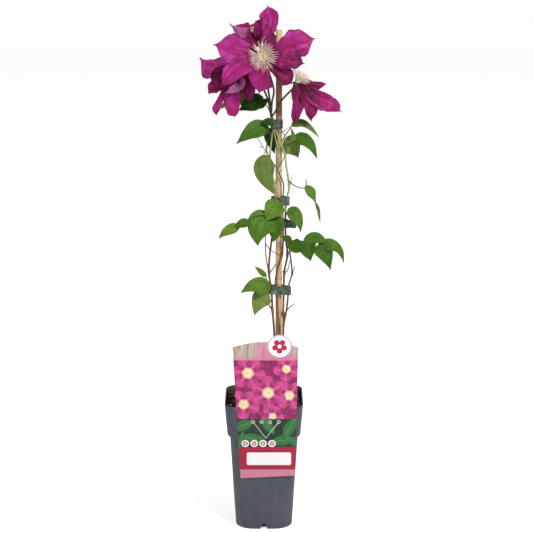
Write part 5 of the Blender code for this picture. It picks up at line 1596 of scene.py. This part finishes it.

# %% [markdown]
# ## The green growth
#
# Above the wood two young shoots and two thinner ones wind past each other and the cane, and meet at the
# first tape. From there the four flower stalks rise. Leaves sit on their own stalks, and a few stalks have
# become tendrils.
#
# The flower stalks end under the blooms, so the places of the blooms come first. Each bloom has a centre
# and an axis that it looks along. A sepal is given by the middle point and the tip of its rib, the way its
# face looks, and its widths left and right of the rib at six stations. The widths differ, because no sepal
# is symmetrical and most are seen at a slant. Each bloom also has a tone for every sepal, which is painted
# light and shade: low for a sepal in shade and high for a lit one. Then come the number, the reach and the
# spread in degrees of its stamens, their lift above the disc, and the folds of sepals that are rolled up.

# %% Where the blooms are
DISC_RADIUS, DOME_RADIUS, FLATNESS = 4.6, 4.4, 0.55
DISC_HIGH, DOME_HIGH = DISC_RADIUS * FLATNESS, DOME_RADIUS * FLATNESS
BLOOM_STALKS = {
    "a": [(11, -12, 604), (13, -13, 624)],
    "b": [(8, -7, 606), (4, 2, 630)],
    "c": [(6, -4, 604), (-2, 3, 622), (-16, 7, 636)],
    "d": [(15, -10, 590), (24, -9, 606)],
}
# Each bloom's list of tone values is painted light and shade: a low value for a sepal in shade, a high one
# for a lit sepal.
BLOOMS = {
    "a": {
        "centre": (-1, -34, 668), "axis": (-0.04, -1, 0.12), "spread": (22, 80), "stamens": 112,
        "reach": 18.6, "lift": 0.0, "light_and_shade_tones": (0.78, 0.66, 0.4, 0.08, 0.1, 0.66, 0.05),
        "sepals": [
            ((-34, -41, 677), (-68, -36, 684), (-0.05, -1, 0.1), (10, 16, 20, 19, 14, 5),
             (7, 12, 17, 20.5, 14, 4)),
            ((-31, -45, 653), (-58, -46, 629), (-0.2, -1, 0.1), (9, 12, 11, 9.5, 8.5, 5),
             (8, 12, 16.5, 16, 11, 5)),
            ((-4, -43, 645), (-6, -42, 618), (0, -1, 0.2), (7, 9, 11, 14, 17, 6),
             (7.5, 13, 16.5, 15, 9.5, 3.5)),
            ((19.5, -41, 650), (40, -40, 632), (0.15, -1, 0.2), (7, 10.5, 12.5, 12, 10.5, 6),
             (6.5, 8.5, 9, 11, 12.5, 7)),
            ((28, -44, 663), (55, -38, 659), (0.15, -0.95, 0.3), (6, 9, 13, 15, 15, 7), (6, 9, 11, 10, 8, 3)),
            ((33, -39, 684), (70, -36, 692), (0.1, -1, 0.05), (6, 7.5, 15.5, 17.5, 13.5, 4),
             (6.5, 12, 17.5, 21, 17.5, 7)),
            ((10, -27, 684), (18, -12, 694), (0.1, -0.9, -0.4), (8, 12, 13, 11, 8, 3), (8, 12, 13, 11, 8, 3)),
        ],
    },
    "b": {
        "centre": (-8, 14, 685), "axis": (-0.27, 0.13, 0.94), "spread": (4, 30), "stamens": 34, "reach": 13,
        "lift": 0.8, "troughs": {1: 0.95}, "light_and_shade_tones": (0.6, 0.55, 0.35, 0.2, 0.7, 0.3, 0.1),
        "sepals": [
            ((6, 29, 705), (4, 31, 731), (-0.2, -1, 0.2), (6.5, 9, 10.5, 12, 12.5, 6.5),
             (6.5, 11, 13.5, 14, 13, 7)),
            ((-33, 4, 688), (-43, 2, 710), (0.15, 0.2, 1), (6, 10, 13, 14, 12, 5), (6, 11, 16, 16, 13, 5)),
            ((-24, 26, 697), (-37, 38, 706), (0.4, -0.7, 0.7), (6, 10, 12, 12, 9, 4), (6, 10, 12, 12, 9, 4)),
            ((-8, 1, 697), (-11, -1, 713), (-0.1, -0.8, 0.4), (4, 5.5, 6, 5.5, 4, 2), (4, 6, 7.5, 7, 4.5, 2)),
            ((2, -3, 686), (10, -8, 692), (-0.2, 0.9, 0.3), (3.5, 5.5, 7, 7, 4.5, 2),
             (3.5, 5.5, 7, 7, 5, 2.5)),
            ((-6, 34, 699), (-12, 46, 710), (0, -0.8, 0.7), (6, 9, 12, 12, 9, 4), (6, 9, 12, 12, 9, 4)),
            ((-16, 0, 685), (-18, -9, 671), (0.05, -0.9, 0.4), (6, 10, 13, 13, 9, 4), (6, 10, 12, 11, 8, 4)),
        ],
    },
    "c": {
        "centre": (-34, -1, 640), "axis": (-0.4, -0.9, -0.02), "spread": (4, 34), "stamens": 30, "reach": 12,
        "lift": 0.4, "light_and_shade_tones": (0.95, 0.45, 0.55, 0.65, 0.25, 0.02, 0.6),
        "sepals": [
            ((-64, -6, 652), (-87, -10, 660), (-0.2, -1, -0.3), (9, 15, 22, 23, 17, 7),
             (7, 12, 15, 10, 4, 1.6)),
            ((-60, -11, 627), (-76, -15, 617), (-0.1, -0.8, 0.6), (5, 8, 10, 10, 6.5, 3),
             (6, 12, 13, 11, 9.5, 4.5)),
            ((-57, -14, 611), (-67, -16, 585), (-0.4, -1, 0.2), (5, 7, 6, 5, 6, 3), (5, 7, 5, 4.5, 5.5, 3.5)),
            ((-42, -15, 610), (-39, -17, 583), (-0.1, -1, 0.1), (7, 10.5, 11.5, 10, 8, 6),
             (7, 10.5, 12, 11, 9, 7.5)),
            ((-22, -9, 622), (-21, -13, 605), (0.2, -1, 0.1), (13, 14, 12, 9, 6.5, 3.5),
             (6, 9, 10, 9, 7, 4)),
            ((-56, -9, 639), (-71, -13, 629), (-0.2, -1, 0.3), (8, 13, 15, 14, 9, 4), (8, 13, 15, 14, 9, 4)),
            ((-35, -20, 626), (-52, -23, 619), (0.15, 0.85, 0.45), (6, 8, 8, 7.5, 5.5, 3),
             (6, 8, 8.5, 7.5, 5.5, 3)),
        ],
    },
    "d": {
        "centre": (43, -14, 629), "axis": (0.5, -0.3, 0.8), "spread": (8, 66), "stamens": 80, "reach": 15,
        "lift": 0.0, "light_and_shade_tones": (0.25, 0.15, 0.38, 0.15, 0.2, 0.2),
        "sepals": [
            ((44, -28, 602), (39, -25, 573), (0.05, -1, 0.15), (8, 10, 10.5, 8, 6, 3),
             (8, 7, 5.5, 5.5, 4.5, 2)),
            ((60, -29, 605), (64, -28, 578), (0.1, -1, 0.2), (9, 11, 13, 11.5, 7, 2),
             (8, 9, 8.5, 7.5, 6.5, 3)),
            ((76, -25, 609), (108, -23, 593), (0.2, -1, 0.35), (8, 10, 11, 11, 10, 6.5),
             (8, 12, 14, 12.5, 7.5, 3.5)),
            ((66, -13, 628), (85, -9, 629), (0.1, -0.9, 0.6), (7, 8, 6.5, 5, 4, 1.5),
             (8, 11, 10.5, 8.5, 6, 2.5)),
            ((58, 8, 621), (70, 24, 600), (0.5, 0.6, 0.6), (5, 9, 12, 11, 8, 4), (5, 9, 12, 11, 8, 4)),
            ((50, 6, 618), (50, 20, 598), (-0.3, 0.8, 0.5), (5, 7, 9, 9, 7, 4), (5, 7, 9, 9, 7, 4)),
        ],
    },
}
print("sepals:", {name: len(bloom["sepals"]) for name, bloom in BLOOMS.items()})


# %% Shoots, flower stalks and tendrils
def flare(share):
    """A flower stalk's radius, which widens just under the bloom."""
    return 1.3 + 1.2 * max(0.0, share - 0.93) / 0.07


shoots = [
    lay_rod(stem_blank, [(29.8, -4.6, 452.3), (29.8, -4.6, 456), (31, -5, 464), (32.4, -5.4, 474),
                         (34.6, -5.4, 484), (33, -6, 500), (31, -7, 514), (28.6, -8.4, 530),
                         (23, -9.4, 548), (17, -8.2, 562), (13.4, -7, 572), (10, -8, 587)],
            knuckled(1.3, 1.05, (0.27, 0.6), 0.5), 0.06, tone=1.15),
    lay_rod(stem_blank, [(12.6, -7.2, 452.3), (12.8, -7, 456), (15.4, -7.6, 470), (14, -10, 492),
                         (9.6, -11.6, 514), (8.6, -11.8, 533), (10.4, -11, 552), (11.8, -7.8, 562),
                         (12.4, -6.6, 572), (10, -8, 587)],
            knuckled(1.25, 1.0, (0.3, 0.62), 0.5), 0.06, tone=1.05),
    lay_rod(stem_blank, [(26.4, -6.4, 444.3), (25.6, -6.8, 454), (25.2, -7, 468), (27, -7.2, 480),
                         (26.4, -7.4, 493), (22, -8.2, 503), (18.4, -9.4, 512), (12, -10.6, 521),
                         (4.6, -10.4, 534), (4, -9.8, 546), (7.4, -9.8, 555), (11, -8.4, 561)],
            taper(0.95, 0.75), 0.06, tone=0.3),
    lay_rod(stem_blank, [(14, -9.6, 487), (18.6, -10.4, 506), (20.6, -10.6, 526), (18.6, -12, 543),
                         (15.6, -12, 556), (12.6, -8.4, 569)], taper(0.95, 0.8), 0.06, tone=1.0),
    stalk_rod([(28.6, -8.4, 529), (23, -9.8, 519), (19, -10.4, 509)], 0.6, 0.5, 0.2),
    stalk_rod([(25, -12, 564), (29, -12.4, 556), (31.8, -11.6, 542), (30.6, -10, 531), (29.2, -8.4, 527)],
              0.5, 0.4, 0.4),
]
for name, way in BLOOM_STALKS.items():
    bloom = BLOOMS[name]
    axis = Vector(bloom["axis"]).normalized()
    end = Vector(bloom["centre"]) - axis * (DISC_HIGH + SEAT)
    # The flower stalks take the darkest tone: a purple-brown that is partly painted shade of the blooms.
    shoots.append(lay_rod(stem_blank, [(10, -8, 583)] + way + [end - axis * 7, end], flare, 0.05, tone=-0.05))
TENDRILS = (
    [(17, -8.4, 561.6), (21, -10, 562), (25, -12, 564), (29, -18, 566.5), (34, -22, 571), (38, -24.6, 574)],
    [(4.4, -10.4, 533), (1.6, -12, 538), (-2, -12.6, 544), (-6, -13, 551), (-10, -13, 557),
     (-11.4, -14, 562)],
    [(34.6, -5.4, 486), (37, -7, 493), (38, -8, 499), (36.4, -9, 501.6)],
    [(2.4, -11.6, 537), (-0.4, -12.4, 532), (-0.2, -12.6, 527)],
    [(-1.6, -12.6, 543.6), (-4.4, -13, 542.4), (-6, -13.4, 543.6)],
    [(1.6, -12, 538), (4.4, -13, 541), (5.4, -13.4, 544)],
)
shoots += [stalk_rod(points, 0.6, 0.3) for points in TENDRILS]
print("shoots:", len(shoots))

# %% Leaves of the green growth
stalks = [stalk_rod(points) for points in (
    [(10, -8, 586), (4, -5, 598), (-6, -2, 606)],
    [(10.8, -10, 555), (8, -12, 562), (4, -12.6, 570)],
    [(10.4, -8, 585), (13, -12.4, 581), (14, -13.4, 575)],
    [(23.4, -9.4, 547), (30, -11, 560), (38.6, -11, 572)],
    [(26.4, -8.8, 538), (28, -10.4, 548.6), (34, -12, 549.6), (42, -12, 553.4)],
    [(26.4, -8.8, 538), (27.4, -7.6, 545), (28, -5.6, 549.4)],
    [(11.8, -7.8, 562.5), (10.6, -6.6, 565.5), (8.8, -5.8, 567.4)],
    [(8.8, -11.8, 530), (7, -15, 532), (4, -17.4, 531)],
    [(33.4, -6, 496), (40, -9, 490), (50, -12, 486), (57, -14, 487), (58.6, -14.5, 490)],
    [(57, -14, 487), (58, -14, 494), (57, -13.6, 498)],
    [(40, -11, 573), (38.6, -10.6, 575.4), (38, -11, 572.4)],
)]
leaves = [
    leaf((-1, -2, 607), (-18, -3, 600), (-34, -6, 592), 25, (-0.2, -1, 0.5), tone=0.08),
    leaf((-9, -1, 597), (-1, -3, 602), (7, -4, 609), 12, (0.1, -1, 0.3), tone=0.12),
    leaf((-5, -1.8, 606), (-38, 8, 604), (-63, 6, 591), 18, (-0.1, -0.9, 0.5), 0.25, tone=0.85),
    leaf((5, -12, 571), (-15, -20, 565), (-37, -27, 550), 27, (-0.25, -0.9, 0.5), 0.25, 0.03, 0.42,
         phase=1.4),
    leaf((38, -11, 572), (56, -15, 575), (75, -18, 556), 14, (-0.3, 0.8, -0.9), 0.15, tone=0.4, curl=0.0),
    leaf((42, -12, 553), (59, -18, 550), (73, -25, 528), 20, (0.3, -1, 0.5), 0.25, tone=0.4, phase=2.0),
    leaf((40, -12, 551.4), (40, -12.4, 559), (36, -9, 570), 6, (0.2, -1, 0.2), 0.3, tone=0.6),
    leaf((28, -5.5, 549), (39, -4.6, 541), (47, -4, 527), 29, (-0.1, 1, -0.1), 0.05, 0.02, 0.5, curl=0.0),
    leaf((8.8, -5.8, 567), (10, -5.4, 551), (15, -5.8, 532), 18, (-0.1, -1, 0.0), 0.08, 0.0, tone=0.02),
    leaf((4, -17, 531), (1, -25, 508), (15, -24, 479), 29, (0.2, 1, -0.35), 0.1, 0.03, 0.4, phase=0.8,
         curl=0.0),
    leaf((14, -13.4, 574), (4, -14.4, 577), (-8, -13, 572), 13, (-0.1, -0.8, 0.7), 0.25, tone=0.15),
    leaf((58, -14.5, 489), (69, -18, 468), (78, -20, 440), 17, (1.4, -1, 0.3), 0.3, 0.03, 0.6, twist=2.7),
]
green_piece = spray("green_growth", stalks + shoots, leaves)
hand_in(green_piece, "green_shoots", 60)

# %% [markdown]
# ## The blooms
#
# A clematis bloom has no petals: six or seven coloured sepals stand on a small disc, each with a narrow claw,
# a broad middle and a pointed tip that curls back. They come out of the bud crumpled and stay ruffled at the
# edges. Each sepal is a copy of one blank, laid along its own rib. Every second one starts a millimetre lower
# on the disc, so that neighbours overlap like tiles and don't cut through each other.

# %% Lay the sepals
SEPAL_THICK = 0.45


def flat_ball(place, axis, radius, segments, rings):
    """A ball pressed flat along an axis, for the disc under the sepals and the dome under the stamens."""
    clear_selection()
    bpy.ops.mesh.primitive_uv_sphere_add(segments=segments, ring_count=rings, radius=radius * MM)
    ball = bpy.context.object
    ball.data.transform(Matrix.Translation(place * MM) @ towards(axis) @ Matrix.Diagonal((1, 1, FLATNESS, 1)))
    return ball


def lay_sepals(name, bloom, chance):
    """All sepals of a bloom on their disc, as one piece."""
    centre, axis = Vector(bloom["centre"]), Vector(bloom["axis"]).normalized()
    blades = []
    troughs = bloom.get("troughs", {})
    for i, (middle, tip, face, left, right) in enumerate(bloom["sepals"]):
        way = Vector(middle) - centre
        way = (way - axis * way.dot(axis)).normalized()
        start = centre + way * 3.0 + axis * (0.5 - 1.0 * (i % 2))
        blades.append(lay_blade(
            sepal_blank, SEPAL, start, middle, tip, face, edge_curve(left), edge_curve(right),
            fold=troughs.get(i, chance.uniform(0.1, 0.3)), arch=0.02, wave=chance.uniform(0.04, 0.07),
            waves=chance.uniform(1.3, 2.1), phase=i * 1.7, curl=chance.uniform(0.1, 0.4),
            twist=chance.uniform(-0.2, 0.2), ribs=0.8, crumple=2.4, ragged=0.16, tone=bloom["light_and_shade_tones"][i],
            depth=chance.uniform(0.2, 0.4)))
    sepals = join(name, blades)
    coat(sepals, sepal_face, sepal_back)
    thicken(sepals, SEPAL_THICK)
    disc = flat_ball(centre, axis, DISC_RADIUS, 20, 10)
    coat(disc, stalk_material)
    note(disc, tone=0.5)
    return join(name, [sepals, disc])


for name, bloom in BLOOMS.items():
    piece = lay_sepals("sepals_" + name, bloom, random.Random(40 + ord(name)))
    hand_in(piece, "bloom_" + name + "_sepals", 70)

# %% [markdown]
# In the middle stands a brush of stamens round a tuft of silky styles. A stamen is a thin filament with a
# long anther near its end. The outer ones lie almost flat and the inner ones stand up, which a spiral with
# the golden angle spreads evenly, as the plant itself does.

# %% Lay the stamens
stamen_blank = rod_blank("stamen_blank", 9, 5)
GOLDEN_ANGLE = 2.39996
SMALL_REACH = 12


def stamen_shape(share):
    """A thin filament, a swollen anther and a blunt tip."""
    return 0.17 + 0.16 * math.exp(-((share - 0.76) / 0.16) ** 4) - 0.14 * max(0.0, share - 0.9) / 0.1


def lay_stamens(name, bloom, chance):
    """The stamens of a bloom in a spiral round its styles, on their dome, as one piece."""
    centre, axis = Vector(bloom["centre"]), Vector(bloom["axis"]).normalized()
    side = axis.orthogonal().normalized()
    other = axis.cross(side)
    middle = centre + axis * (DISC_HIGH + SEAT + DOME_HIGH + bloom["lift"])
    near, far = bloom["spread"]
    count = bloom["stamens"]
    rods = []
    for i in range(count):
        turn = i * GOLDEN_ANGLE + chance.uniform(-0.12, 0.12)
        tilt = math.radians(near + (far - near) * ((i + 0.5) / count) ** 0.75)
        flat = side * math.cos(turn) + other * math.sin(turn)
        way = axis * math.cos(tilt) + flat * math.sin(tilt)
        reach = bloom["reach"] * chance.uniform(0.84, 1.08)
        root = middle + (axis * math.cos(tilt) * 0.55 + flat * math.sin(tilt)) * 3.2
        bow = (flat * 0.5 - axis * 0.5) * reach * chance.uniform(0.02, 0.12)
        drift = (side * chance.uniform(-1, 1) + other * chance.uniform(-1, 1)) * reach * 0.04
        rods.append(lay_rod(stamen_blank, [root, root + way * reach * 0.5 + drift, root + way * reach + bow],
                            stamen_shape, tone=0.4))
    styles = 26 if bloom["reach"] > SMALL_REACH else 12
    for i in range(styles):
        turn, lean = i * GOLDEN_ANGLE, 0.55 * ((i + 0.5) / styles) ** 0.5
        flat = side * math.cos(turn) + other * math.sin(turn)
        root = middle + axis * 1.4 + flat * lean * 4.0
        way = (axis + flat * lean).normalized()
        rods.append(lay_rod(stamen_blank, [root, root + way * 4.5, root + way * 8.5 + flat * 1.2],
                            taper(0.6, 0.3), tone=1.0))
    dome = flat_ball(middle, axis, DOME_RADIUS, 16, 8)
    note(dome, along=0.0, tone=0.6)
    rods.append(dome)
    for rod in rods:
        coat(rod, silk_material)
    return join(name, rods)


for name, bloom in BLOOMS.items():
    piece = lay_stamens("stamens_" + name, bloom, random.Random(70 + ord(name)))
    hand_in(piece, "bloom_" + name + "_stamens", 70)

# %% [markdown]
# ## Finish
#
# The blanks have served their purpose and are removed.

# %% Remove the blanks
for blank in (stem_blank, stalk_blank, leaf_blank, sepal_blank, stamen_blank, bud_blank):
    bpy.data.objects.remove(blank, do_unlink=True)
